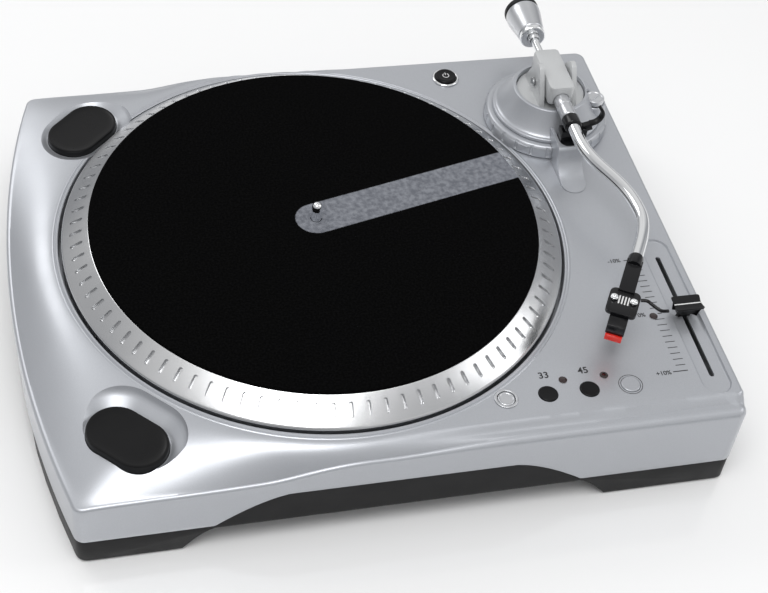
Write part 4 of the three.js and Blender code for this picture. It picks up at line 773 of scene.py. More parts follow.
@dataclass
class Assembly:
    """A group of pieces that are drawn from one anchor."""

    anchor: Anchor = field(default_factory=lambda: SPINDLE)

    def dress(
        self,
        name: str,
        mesh: bpy.types.Mesh,
        look: Look,
        replaces: Sequence[str] = (),
        body: str = "",
        slot: str = "",
    ) -> bpy.types.Object:
        """Makes a finished piece of a mesh.

        Args:
            name: The piece's name.
            mesh: Its mesh in the row frame.
            look: Its finish.
            replaces: CAD nodes it stands for.
            body: The CAD body it rides on, or the first replaced node's body.
            slot: Not used.

        Returns:
            The piece.
        """
        mesh.materials.clear()
        mesh.materials.append(PALETTE[look])
        piece = linked(name, mesh)
        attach(piece, body or BODY_OF[replaces[0]])
        slot or SLOT_OF[replaces[0]]
        if replaces:
            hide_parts(*replaces)
        LOG.info("%s: %d faces", name, len(mesh.polygons))
        return piece

    def add(
        self,
        name: str,
        skin: Skin,
        look: Look,
        replaces: Sequence[str] = (),
        body: str = "",
        slot: str = "",
        sharp: float = SHARP,
    ) -> bpy.types.Object:
        """Makes a finished piece of a surface drawn from the anchor."""
        mesh = shaded(mesh_of(name, skin, self.anchor), sharp)
        return self.dress(name, mesh, look, replaces, body, slot)

    def refine(self, node: str, look: Look, width: float, segments: int) -> bpy.types.Object:
        """Makes a copy of a CAD node with merged faces and softly rounded edges.

        Args:
            node: The CAD node's name.
            look: The piece's finish.
            width: Width of the rounding in millimetres.
            segments: Steps in the rounding.

        Returns:
            The piece, which stands for the node.
        """
        mesh = frame["nodes"][node].data.copy()
        work = bmesh.new()
        work.from_mesh(mesh)
        bmesh.ops.remove_doubles(work, verts=work.verts, dist=WELD)
        flat, crease = math.radians(1.0), math.radians(35)
        bmesh.ops.dissolve_limit(work, angle_limit=flat, verts=work.verts, edges=work.edges)
        inner = [edge for edge in work.edges if len(edge.link_faces) == 2]
        crisp = [edge for edge in inner if edge.calc_face_angle() > crease]
        bmesh.ops.bevel(
            work, geom=crisp, offset=width * MM, offset_type="OFFSET", segments=segments,
            profile=0.5, affect="EDGES", clamp_overlap=True,
        )
        bmesh.ops.recalc_face_normals(work, faces=work.faces)
        work.to_mesh(mesh)
        work.free()
        return self.dress(node + "_skin", shaded(mesh, SOFT_SHARP), look, [node])

    def refine_all(self, finishes: dict[str, tuple[Look, float, int]]) -> None:
        """Refines nodes in order, each with its look, rounding width and steps."""
        for node, (look, width, segments) in finishes.items():
            self.refine(node, look, width, segments)

    def middle(self, node: str) -> Pair:
        """Plan centre of a node in millimetres from the anchor."""
        low, high = self.anchor.local(node)
        return float(low[0] + high[0]) / 2, float(low[1] + high[1]) / 2


# ---------------------------------------------------------------- the plinth


@dataclass
class PlinthForm:
    """Sizes of the plinth's outer form, in millimetres from the spindle on the floor."""

    deck: float = 74.0
    well_floor: float = 58.0
    well_radius: float = 170.0
    well_house: float = 173.0  # outer radius of the well's wall
    lip_radius: float = 173.5
    left: float = -203.5
    right: float = 245.5
    front: float = -187.5
    back: float = 172.5
    bow: float = 25.5
    corner: float = 7.0
    wall: float = 3.0
    foot_edge: float = 21.5
    arch_edge: float = 45.0
    arch_slant: float = 46.0
    arch_across: Pair = (-95.0, 140.5)  # where the arch along the front starts and ends
    arch_along: Pair = (-80.5, 111.5)  # the same along the sides
    front_fall: float = 21.0  # how far the left of the deck falls at the front
    back_fall: float = 8.4
    fade: float = 25.0  # gap under which the fall fades out
    keep: float = 6.0  # least distance from the round rings to the outline
    crease: float = 14.0  # front strip that falls away from the deck
    lip_rise: float = 0.8

    @property
    def side_radius(self) -> float:
        """Radius of the left side's bow: half chord squared plus bow squared, over twice the bow."""
        half = (self.back - self.front) / 2
        return (half**2 + self.bow**2) / (2 * self.bow)

    def outline(self, count: int = 960) -> Array:
        """Plan outline, anticlockwise, at even steps with its corners rounded."""
        middle = (self.front + self.back) / 2
        half = (self.back - self.front) / 2
        spread = math.asin(half / self.side_radius)
        centre = self.left + self.side_radius
        angle = np.linspace(math.pi - spread, math.pi + spread, 121)
        unit = np.column_stack([np.cos(angle), np.sin(angle)])
        side = np.array([centre, middle]) + self.side_radius * unit
        right = np.array([[self.right, self.front], [self.right, self.back]])
        skipped = 6  # points of the bow at each end that the corner's arc takes up
        corners = [
            self._rounded(side[0], right[1], side[skipped]),
            self._rounded(side[-1], side[-1 - skipped], right[0]),
            self._rounded(right[0], side[-1], right[1]),
            self._rounded(right[1], right[0], side[0]),
        ]
        line = np.vstack([corners[0], side[skipped:-skipped], *corners[1:]])
        closed = np.vstack([line, line[:1]])
        run = run_along(closed)
        return taken_at(closed, run, np.linspace(0, run[-1], count, endpoint=False))

    def _rounded(self, here: Array, before: Array, after: Array) -> Array:
        """Arc that rounds one corner, tangent to both of its sides."""
        one = (before - here) / np.linalg.norm(before - here)
        two = (after - here) / np.linalg.norm(after - here)
        half = math.acos(float(np.clip(one @ two, -1, 1))) / 2
        reach = self.corner / math.tan(half)
        start, end = here + one * reach, here + two * reach
        centre = here + (one + two) / np.linalg.norm(one + two) * self.corner / math.sin(half)
        first, last = (math.atan2(*(point - centre)[::-1]) for point in (start, end))
        turn = (last - first + math.pi) % (2 * math.pi) - math.pi
        angle = first + np.linspace(0, 1, 17) * turn
        return centre + self.corner * np.stack([np.cos(angle), np.sin(angle)], axis=1)

    def left_fall(self, angle: Array, share: Array, gap: Array) -> Array:
        """Fall of the deck between the lip and the edge on the left.

        The full fall goes from the front's to the back's with the sine of the
        angle, fades out in a narrow gap, and grows with the share of the way to
        the power 1.5 + 10 / gap. The share eases to 1 between 0.9 and 1.1.
        """
        backward = smooth((np.sin(angle) + 0.35) / 1.05)
        full = blend(self.front_fall, self.back_fall, backward) * smooth(gap / self.fade)
        ease = np.clip((share - 0.9) / 0.2, 0, 1)
        held = np.clip(np.minimum(share, 0.9), 0, 1) + 0.2 * (ease - ease**2 / 2)
        return full * held ** (1.5 + 10 / np.maximum(gap, 1))

    def fall(self, points: Array) -> Array:
        """Fall of the deck below its level at points of the plan.

        On the left it grows along each ray from the spindle between the lip and the
        outline, and in front across a strip where it passes into a shallow valley
        to the right. The gap blends the ray's two ways out so that the smaller rules.
        """
        x, y = points[..., 0], points[..., 1]
        radius, angle = np.hypot(x, y), np.arctan2(y, x)
        dx, dy = np.cos(angle), np.sin(angle)
        middle = (self.front + self.back) / 2
        centre = self.left + self.side_radius
        along = dx * centre + dy * middle
        side = along + np.sqrt(np.maximum(along**2 + self.side_radius**2 - centre**2 - middle**2, 0))
        ahead = np.where(dy < 0, self.front / np.minimum(dy, -1e-6), self.back / np.maximum(dy, 1e-6))
        beside, before = (np.maximum(reach - self.lip_radius, 1.0) for reach in (side, ahead))
        gap = (beside**-10.0 + before**-10.0) ** -0.1
        left = np.where(x < 0, self.left_fall(angle, (radius - self.lip_radius) / gap, gap), 0)
        front_angle = np.full_like(x, -math.pi / 2)
        front_gap = np.full_like(x, -self.front - self.lip_radius)
        t = np.clip((-self.lip_radius - y) / self.crease, 0, 1)
        valley = 4.5 * smooth(t / 0.45) + 7 * np.maximum(0, (t - 0.6) / 0.4) ** 2
        front = blend(self.left_fall(front_angle, t, front_gap), valley, smooth(x / 109.2))
        return np.where(x < 0, left, np.where(y < -self.lip_radius, front, 0))

    def lip(self, radius: Array) -> Array:
        """Rise of the well's rim: a rounded ridge at the well and a lower one outside it."""
        inner = self.lip_rise * np.exp(-(((radius - 170.9) / 0.9) ** 4))
        return inner + 0.4 * np.exp(-(((radius - 173.1) / 0.6) ** 4))

    def lower_edge(self, points: Array) -> Array:
        """Height of the shell's lower edge, which rises in an arch between the feet.

        Each end of the arch is a parabola arc whose control point lies 0.6 along and
        0.88 up. Its parameter t at a share q along solves 1.2 t - 0.2 t squared = q.
        """

        def arch(value: Array, start: float, end: float) -> Array:
            q = np.clip(np.minimum(value - start, end - value) / self.arch_slant, 0, 1)
            t = (1.2 - np.sqrt(1.44 - 0.8 * q)) / 0.4
            rise = self.arch_edge - self.foot_edge
            return self.foot_edge + rise * (2 * (1 - t) * t * 0.88 + t**2)

        across = arch(points[:, 0], *self.arch_across)
        along = arch(points[:, 1], *self.arch_along)
        return np.maximum(across, along)

    def top_rings(
        self, edge: Array, inward: Array, last_inset: Array, drop: float, radii: Sequence[float]
    ) -> list[Array]:
        """Rings of the deck from the middle to near the edge.

        Args:
            edge: The plan outline.
            inward: Unit steps inward from it.
            last_inset: How far in the outermost ring lies.
            drop: How far the surface lies under the deck.
            radii: Radii of the round rings, the last at the lip's foot.

        Returns:
            Rings of points with their heights.
        """
        reach = np.hypot(edge[:, 0], edge[:, 1])
        unit = edge / reach[:, None]
        held = [np.minimum(r, reach - self.keep + (r - radii[-1]) * 0.02) for r in radii]
        plan = [unit * radius[:, None] for radius in held]
        last = edge + inward * last_inset[:, None]
        plan += [blend(plan[-1], last, share) for share in np.linspace(0, 1, 25)[1:]]
        return [np.column_stack([ring, self.height(ring, drop)]) for ring in plan]

    def height(self, plan: Array, drop: float = 0.0) -> Array:
        """Height of the deck at points of the plan, or of a surface that lies a drop under it."""
        lip = self.lip(np.hypot(*plan.T)) if drop == 0 else 0
        return self.deck - drop - self.fall(plan) + lip

    def solid(self) -> Skin:
        """The block of the shell before anything is cut from it."""
        edge = self.outline()
        inward = drawn_in(edge, 1.0) - edge
        gap = np.maximum(np.hypot(*edge.T) - self.lip_radius, 4.0)
        inset = np.minimum(0.85 * self.corner, 0.5 * gap)
        at_front = smooth((edge[:, 0] - 10) / 100) * (edge[:, 1] < self.front + 14)
        fillet = np.minimum(2.6 + 2.4 * at_front, 0.35 * gap)
        radii = (40.0, 120.0, 168.0, 170.0, 170.3, 170.6, 170.9, 171.3, 171.7, 172.1)
        radii += (172.5, 172.8, 173.1, 173.5, 174.0, 174.6)
        rings = self.top_rings(edge, inward, inset, 0.0, radii)
        for share in np.linspace(0, 1, 6)[1:]:
            plan = edge + inward * blend(inset, fillet, share)[:, None]
            rings.append(np.column_stack([plan, self.height(plan)]))
        start = rings[-1][:, 2]
        for angle in np.linspace(0, math.pi / 2, 8)[1:]:
            plan = edge + inward * (fillet * (1 - math.sin(angle)))[:, None]
            rings.append(np.column_stack([plan, start - fillet * (1 - math.cos(angle))]))
        low, high = self.lower_edge(edge), rings[-1][:, 2]
        for share in (0.3, 0.6, 0.9):
            rings.append(np.column_stack([edge, blend(high, low + 0.6, share)]))
        for inward_by, above in ((0.0, 0.6), (0.2, 0.15), (0.6, 0.0), (6.0, 0.0)):
            rings.append(np.column_stack([edge + inward * inward_by, low + above]))
        return wrapped(np.stack(rings))

    def cavity(self) -> Skin:
        """The hollow under the deck, a wall inside the outer form and open below."""
        edge = self.outline(480)
        inward = drawn_in(edge, 1.0) - edge
        inset = np.full(len(edge), self.wall + 1.0)
        rings = self.top_rings(edge, inward, inset, self.wall, (60.0, 120.0, 174.6))
        side = edge + inward * self.wall
        rings.append(np.column_stack([side, rings[-1][:, 2] - 1.0]))
        rings.append(np.column_stack([side, np.full(len(edge), -5.0)]))
        return wrapped(np.stack(rings))


def disc(
    radius: float, low: float, high: float, x: float = 0.0, y: float = 0.0, segments: int = 96
) -> Skin:
    """Plain round post used to cut holes."""
    return lathe([(radius, low), (radius, high)], segments).moved(x, y)


def block(size: Sequence[float], corner: float, low: float, high: float, edge: float = 0.4) -> Skin:
    """Upright slab with round corners and softly rounded rims."""
    outline = rounded_box(size[0], size[1], corner)
    near = 0.3 * edge
    heights = [low, low + near, low + edge, high - edge, high - near, high]
    return loft(outline, [edge, near, 0, 0, near, edge], heights)


def over(level: float, steps: Sequence[Pair]) -> list[Pair]:
    """Pairs of radius and height from pairs of radius and height above a level."""
    return [(radius, level + rise) for radius, rise in steps]


@dataclass
class Seat:
    """Place of a start and stop button in its scooped dish."""

    x: float
    y: float
    turn: float
    level: float  # height of the deck there

    def placed(self, skin: Skin) -> Skin:
        """Carries a surface drawn at the origin to the seat."""
        return skin.turned("Z", self.turn).moved(self.x, self.y)


@dataclass
class Plinth(Assembly):
    """Silver top shell, dark base and the parts fixed to them."""

    form: PlinthForm = field(default_factory=PlinthForm)
    button_length: float = 54.0
    button_width: float = 36.0

    def seats(self) -> list[Seat]:
        """The two start buttons' seats, from their nodes' boxes."""
        found = []
        for name, turn in (("start_button_front", -45.0), ("start_button_rear", 45.0)):
            low, high = self.anchor.local(name)
            x, y = (low[:2] + high[:2]) / 2
            found.append(Seat(x, y, turn, high[2] + 1.0))
        return found

    def shell(self) -> None:
        """Top shell: scooped deck, raised rim, round well, dishes and holes."""
        form, oval = self.form, stadium(self.button_length, self.button_width)
        hollow = cutting(disc(form.well_house, form.well_floor - form.wall, ABOVE, segments=360))
        cuts = cutting(disc(form.well_radius, form.well_floor, ABOVE, segments=360))
        scoop = [(-0.9, -5.8), (-1.6, -5.5), (-2.6, -4.9), (-7.8, -1.2), (-9.5, -0.1)]
        scoop += [(-10.9, 1.6), (-14, 8)]
        cover = [(-4, -13), (-4.4, -9.5), (-9.6, -1), (-14, 5), (-14, 9)]
        for seat in self.seats():
            shaft = loft(oval, [-0.4, -0.4], [30.0, seat.level])
            dish = stacked(oval, seat.level, scoop)
            hollow += cutting(seat.placed(stacked(oval, seat.level, cover)))
            cuts += cutting(seat.placed(dish), seat.placed(shaft))
        inside = carved(mesh_of("cavity", form.cavity(), self.anchor), hollow, self.anchor)
        holes = dict.fromkeys(("speed_key_33", "speed_key_45", "aux_key"), 6.5)
        holes |= {"target_lamp": 7.1, "power_button": 9.5, "arm_base": 24.3}
        holes |= {"spindle": 14.3, "motor_pulley": 10.0}
        holes |= dict.fromkeys(("speed_led_33", "speed_led_45", "pitch_led"), 2.3)
        for node, radius in holes.items():
            cuts += cutting(disc(radius, UNDER, ABOVE, *self.middle(node), segments=72))
        panel = [(1.6, -1.8), (0.9, -1.7), (0.3, -1.4), (0, -0.8), (-0.5, 0), (-2, 2)]
        dish = stacked(stadium(138.0, 19.0), form.deck, panel)
        slot = loft(stadium(108.0, 3.4), [0, 0], [60, 90])
        place = self.middle("pitch_fader_body")
        cuts += cutting(*(tool.turned("Z", 90).moved(*place) for tool in (dish, slot)))
        openings = (("rear_panel", 78.6, 40.7, 61.3), ("power_inlet", 24.6, 36.7, 55.3))
        for node, width, low, high in openings:
            opening = block((width, 12), 1.0, low, high, 0.1)
            cuts += cutting(opening.moved(self.middle(node)[0], form.back - 1.5))
        outer = linked("shell_work", mesh_of("shell", form.solid(), self.anchor))
        tool = linked("cavity_work", inside)
        step = outer.modifiers.new("hollow", "BOOLEAN")
        step.operation, step.object, step.solver = "DIFFERENCE", tool, "MANIFOLD"
        mesh = carved(settled(outer), cuts, self.anchor)
        for used in (outer, tool):
            bpy.data.objects.remove(used)
        self.dress("shell", shaded(mesh, 28.0), Look.SILVER, ["top_shell"])

    def start_buttons(self) -> None:
        """Two satin black buttons with a fine raised rim round a slightly hollow top."""
        oval = stadium(self.button_length, self.button_width, 144)
        cap = [(0, -15), (0, -6), (0, -2.6), (0.15, -1.7), (0.6, -1.1), (1.3, -1)]
        cap += [(2, -1.15), (3, -1.4), (6, -1.6), (12, -1.75)]
        for name, seat in zip(("start_button_front", "start_button_rear"), self.seats()):
            skin = seat.placed(stacked(oval, seat.level, cap))
            self.add(name + "_cap", skin, Look.SATIN_BLACK, [name])

    def keys(self) -> None:
        """Three round keys, the lamp in its ring and three small lights."""
        keys = {"speed_key_33": Look.SATIN_BLACK, "speed_key_45": Look.SATIN_BLACK}
        keys["aux_key"] = Look.SILVER
        crown = [(6.2, -0.5), (5.7, 0), (4.6, -0.15), (0.5, -0.35)]
        for node, look in keys.items():
            low, high = self.anchor.local(node)
            profile = over(low[2], [(6.0, 0), (6.2, 1)]) + over(high[2], crown)
            self.turn_up(node + "_cap", profile, node, look, 0.5)
        low, high = self.anchor.local("target_lamp")
        crown = [(5.6, -0.7), (5.1, -0.1), (4.4, 0), (4.1, -0.35), (0.5, -0.4)]
        post = over(low[2], [(5.4, 0), (5.6, 0.4)]) + over(high[2], crown)
        self.turn_up("lamp_post", post, "target_lamp", Look.SILVER_SATIN, 0.3)
        deck = self.form.deck
        flange = [(5.9, -8), (6.8, -8), (6.8, 0.3), (7.6, 0.3), (7.5, 0.6), (7.1, 0.75)]
        flange += [(6.2, 0.75), (5.9, 0.5)]
        self.turn_up("lamp_ring", over(deck, flange), "target_lamp_ring", Look.SILVER_SATIN, 0.15, True)
        crown = [(2.0, -0.12), (2.8, -0.1), (2.6, 0), (1.5, 0.25), (0.3, 0.4)]
        for node in ("speed_led_33", "speed_led_45", "pitch_led"):
            low, high = self.anchor.local(node)
            lens = over(low[2], [(2.0, 0)]) + over(high[2], crown)
            self.turn_up(node + "_lens", lens, node, Look.LENS, 0.2, segments=40)

    def power_switch(self) -> None:
        """Power button with its symbol, in a bright collar."""
        deck = self.form.deck
        cap = [(7.7, -8), (8, -7.6), (8, 2.3), (7.5, 3), (6.3, 3.25), (5, 3), (0.5, 2.8)]
        self.turn_up("power_cap", over(deck, cap), "power_button", Look.SATIN_BLACK, 0.6)
        count, radius = 30, 2.3
        sweep = np.radians(np.linspace(125, 415, count))
        arc = radius * np.column_stack([np.cos(sweep), np.sin(sweep)])
        line = tube(np.column_stack([arc, np.full(count, deck + 2.85)]), 0.28, 12)
        stroke = block((0.6, 2.6), 0.2, deck + 2.7, deck + 3.1, 0.1).moved(0, 1.9)
        symbol = line.joined(stroke).moved(*self.middle("power_button"))
        self.add("power_symbol", symbol, Look.PALE_INK, [], "power_body", "socket_white")
        collar = [(8.3, -6), (9.2, -6), (9.2, 0.3), (10.2, 0.3), (10, 1), (9.4, 1.5)]
        collar += [(8.6, 1.5), (8.3, 1.2)]
        self.turn_up("power_collar", over(deck, collar), "power_button_ring", Look.CHROME, 0.3, True)

    def turn_up(
        self,
        name: str,
        profile: Sequence[Pair],
        node: str,
        look: Look,
        rounding: float,
        ring: bool = False,
        segments: int = 72,
    ) -> None:
        """Makes a turned piece that stands for a node, over the node's middle."""
        skin = lathe(profile, segments, rounding, ring).moved(*self.middle(node))
        self.add(name, skin, look, [node])

    def base(self) -> None:
        """Dark base, feet and the sockets in the back."""
        feet = {f"foot_pad_{number}": (Look.RUBBER, 0.6, 3) for number in range(1, 5)}
        sockets = {f"phono_socket_{side}": (Look.CHROME, 0.2, 2) for side in ("left", "right")}
        self.refine_all({"base_pan": (Look.BASE_BLACK, 0.9, 3), **feet})
        self.refine_all({"rear_panel": (Look.MATT_BLACK, 0.25, 2), **sockets})
        self.refine_all(
            {
                "ground_terminal": (Look.BRASS, 0.25, 2),
                "line_switch": (Look.WHITE, 0.3, 2),
                "power_inlet": (Look.MATT_BLACK, 0.3, 2),
            }
        )

    def inside(self) -> None:
        """Finishes for the hidden parts, which keep their modelled shapes."""
        looks = {
            "main_board": Look.BOARD,
            "power_transformer": Look.STEEL,
            "bearing_housing": Look.BRASS,
            "drive_motor": Look.STEEL,
            "motor_pulley": Look.BRASS,
            "drive_belt": Look.RUBBER,
            "pitch_fader_body": Look.STEEL,
        }
        for node, look in looks.items():
            mesh = frame["nodes"][node].data
            mesh.materials.clear()
            mesh.materials.append(PALETTE[look])

    def build(self) -> None:
        """Builds every piece of the plinth."""
        self.shell()
        self.start_buttons()
        self.keys()
        self.power_switch()
        self.base()
        self.inside()
        Print(self.anchor).build()


@dataclass
class Print(Assembly):
    """Thin printed marks on the deck: the pitch scale and the speed figures."""

    height: float = 0.05
    steps: int = 20
    mark_gap: float = 5.0
    mark_end: float = 214.7  # where every mark ends along X
    mark_start: float = 208.0
    end_start: float = 204.5  # where the first and last mark start
    zero_start: float = 211.6

    def bar(self, x: float, y: float, width: float, depth: float) -> Skin:
        """One printed stroke lying on the deck."""
        return block((width, depth), 0.05, self.form_z, self.form_z + self.height, 0.01).moved(x, y)

    @property
    def form_z(self) -> float:
        """Height of the deck just over the paint."""
        return PlinthForm().deck + 0.02

    def figure(self, text: str, size: float, x: float, y: float) -> Skin:
        """Text as a thin closed surface centred at a place.

        Args:
            text: The characters.
            size: Height of a line of text.
            x: Centre along X.
            y: Centre along Y.

        Returns:
            The surface.
        """
        curve = bpy.data.curves.new("figure", "FONT")
        curve.body, curve.size = text, size
        curve.extrude, curve.offset = self.height / 2, size * 0.018
        curve.align_x, curve.align_y = "CENTER", "CENTER"
        holder = linked("figure", curve)
        mesh = settled(holder)
        work = bmesh.new()
        work.from_mesh(mesh)
        bmesh.ops.remove_doubles(work, verts=work.verts, dist=1e-4)
        points = np.array([vertex.co[:] for vertex in work.verts])
        faces = [[vertex.index for vertex in face.verts] for face in work.faces]
        work.free()
        bpy.data.objects.remove(holder)
        return Skin(points, faces).moved(x, y, self.form_z + self.height / 2)

    def build(self) -> None:
        """Prints the 21 marks of the pitch scale, its three figures and the two speeds."""
        zero = self.middle("pitch_fader_body")[1] + 2
        marks = []
        for step in range(self.steps + 1):
            start = self.mark_start
            if step in (0, self.steps):
                start = self.end_start
            elif step == self.steps // 2:
                start = self.zero_start
            width = 0.7 if step % 10 == 0 else 0.55
            place, y = (start + self.mark_end) / 2, zero + 50 - self.mark_gap * step
            marks.append(self.bar(place, y, self.mark_end - start, width))
        figures = (("-10%", 197.6, zero + 50.4), ("0%", 200.2, zero), ("+10%", 198.0, zero - 50.3))
        for text, x, y in figures:
            marks.append(self.figure(text, 4.6, x, y))
        marks += [self.figure("33", 7.0, 119.8, -142), self.figure("45", 7.0, 146.3, -141.6)]
        band = over(self.form_z, [(7.5, 0), (7.9, 0), (7.9, self.height), (7.5, self.height)])
        marks.append(lathe(band, 72, 0.01, ring=True).moved(173.5, -157))
        joined = marks[0].joined(*marks[1:])
        self.add("deck_print", joined, Look.INK, [], "plinth", "black_plastic")


@dataclass
class Deck(Assembly):
    """Platter, slipmat and spindle."""

    slots: int = 90
    slot_inner: float = 154.0
    slot_outer: float = 162.2
    slot_width: float = 2.6
    slot_depth: float = 2.3
    slope_start: float = 149.9  # radius from which the ring slopes down
    slope: float = math.atan2(11.1, 17.3)
    first_slot: float = -101.1  # degrees from the X axis

    def platter(self) -> None:
        """Turned platter whose sloping ring holds a row of radial slots."""
        low, high = self.anchor.local("platter")
        top, bottom, rim = high[2], low[2], high[0]
        profile = [(3.9, bottom), (16, bottom), (16, 74.5), (84, 74.5), (84, bottom), (88, bottom)]
        profile += [(88, 74.5), (146.5, 74.5), (164, 72.5), (164, bottom), (167.4, bottom)]
        profile += [(168, bottom + 0.6), (168, 75.2), (167.2, 76.4)]
        profile += [(self.slope_start, top), (3.9, top)]
        held = [(min(radius, rim), z) for radius, z in profile]
        plain = mesh_of("platter", lathe(held, 360, 0.5, ring=True), self.anchor)
        middle = (self.slot_inner + self.slot_outer) / 2
        length = (self.slot_outer - self.slot_inner) / math.cos(self.slope)
        height = top - (middle - self.slope_start) * math.tan(self.slope)
        floor, draft = -self.slot_depth, 0.35
        sides = [(draft, floor), (0, floor + draft), (0, -0.15), (-draft, 0.6)]
        cutter = stacked(stadium(length, self.slot_width, 20), 0.0, sides)
        tilted = cutter.turned("Y", math.degrees(self.slope)).moved(middle, 0, height)
        turns = np.arange(self.slots) * 360 / self.slots + self.first_slot
        copies = [tilted.turned("Z", turn) for turn in turns]
        mesh = carved(plain, cutting(copies[0].joined(*copies[1:])), self.anchor)
        self.dress("platter_disc", shaded(mesh, 30.0), Look.PLATTER, ["platter"])

    def slipmat(self) -> bpy.types.Object:
        """Felt mat with a soft edge and a hole for the spindle."""
        low, high = self.anchor.local("slipmat")
        bottom, top, radius = low[2], high[2], high[0]
        soft, hole, count = 0.9, 3.9, 40
        angle = np.linspace(0.2, math.pi / 2, 6)
        rim = np.column_stack([radius - soft + soft * np.sin(angle), top - soft + soft * np.cos(angle)])
        face = np.column_stack([np.linspace(hole, radius - soft, count), np.full(count, top)])
        under = [[radius, bottom + 0.2], [radius - 0.3, bottom], [hole, bottom]]
        profile = np.vstack([face, rim, under])
        rings = around(profile, 256)
        x, y = rings[..., 0], rings[..., 1]
        wave = 0.05 * np.sin(x / 17 + 1.3) * np.sin(y / 23 + 0.4)
        wave += 0.03 * np.sin(x / 5.1) * np.cos(y / 6.3)
        rings[..., 2] += np.where(rings[..., 2] > top - 0.3, wave - 0.08, 0)
        mat = self.add("slipmat_felt", wrapped(rings, True), Look.FELT, ["slipmat"])
        return mat

    def spindle(self) -> None:
        """Polished spindle with a rounded tip."""
        low, high = self.anchor.local("spindle")
        top = high[2]
        tip = [(3.4 * math.cos(a), top - 3.4 + 3.35 * math.sin(a)) for a in np.linspace(0.15, 1.5, 8)]
        profile = [(1.5, low[2]), (3.6, low[2] + 2.7), (3.6, top - 6), (3.45, top - 4.4), *tip]
        self.add("spindle_pin", lathe(profile, 64, 0.15), Look.CHROME, ["spindle"])

    def build(self) -> None:
        """Builds the platter, mat and spindle."""
        self.platter()
        self.slipmat()
        self.spindle()


@dataclass
class PitchControl(Assembly):
    """Sliding knob of the pitch control."""

    def build(self) -> None:
        """Knob with a flared, hollowed cap and a white line across it."""
        low, high = self.anchor.local("pitch_knob")
        x, y = (low[:2] + high[:2]) / 2
        top, width, depth = high[2], high[0] - low[0], high[1] - low[1]
        outline = rounded_box(width, depth, 1.6, 6)
        flare = [(3.6, -9), (3.2, -7.6), (2.6, -5.2), (1.9, -3.2), (0.9, -1.8), (0.15, -1.1)]
        cap = stacked(outline, top, flare + [(0, -0.5), (0.2, -0.1), (0.6, 0)])
        stem = block((8, 2.6), 0.6, low[2], top - 8.6, 0.2)
        hollow = lathe([(16.0, -30), (16.0, 30)], 96, 0.1).turned("X", 90).moved(z=top + 14.6)
        mesh = mesh_of("knob", cap.moved(x, y), self.anchor)
        scoop = cutting(hollow.turned("Z", 90).moved(x, y))
        mesh = carved(mesh, [*scoop, ("UNION", stem.moved(x, y))], self.anchor)
        self.dress("fader_knob", shaded(mesh, 35.0), Look.MATT_BLACK, ["pitch_knob"])
        mark = block((width - 1.2, 0.9), 0.2, top - 1.5, top - 1.33, 0.05).moved(x, y)
        self.add("knob_line", mark, Look.PALE_INK, [], "knob_body", "socket_white")


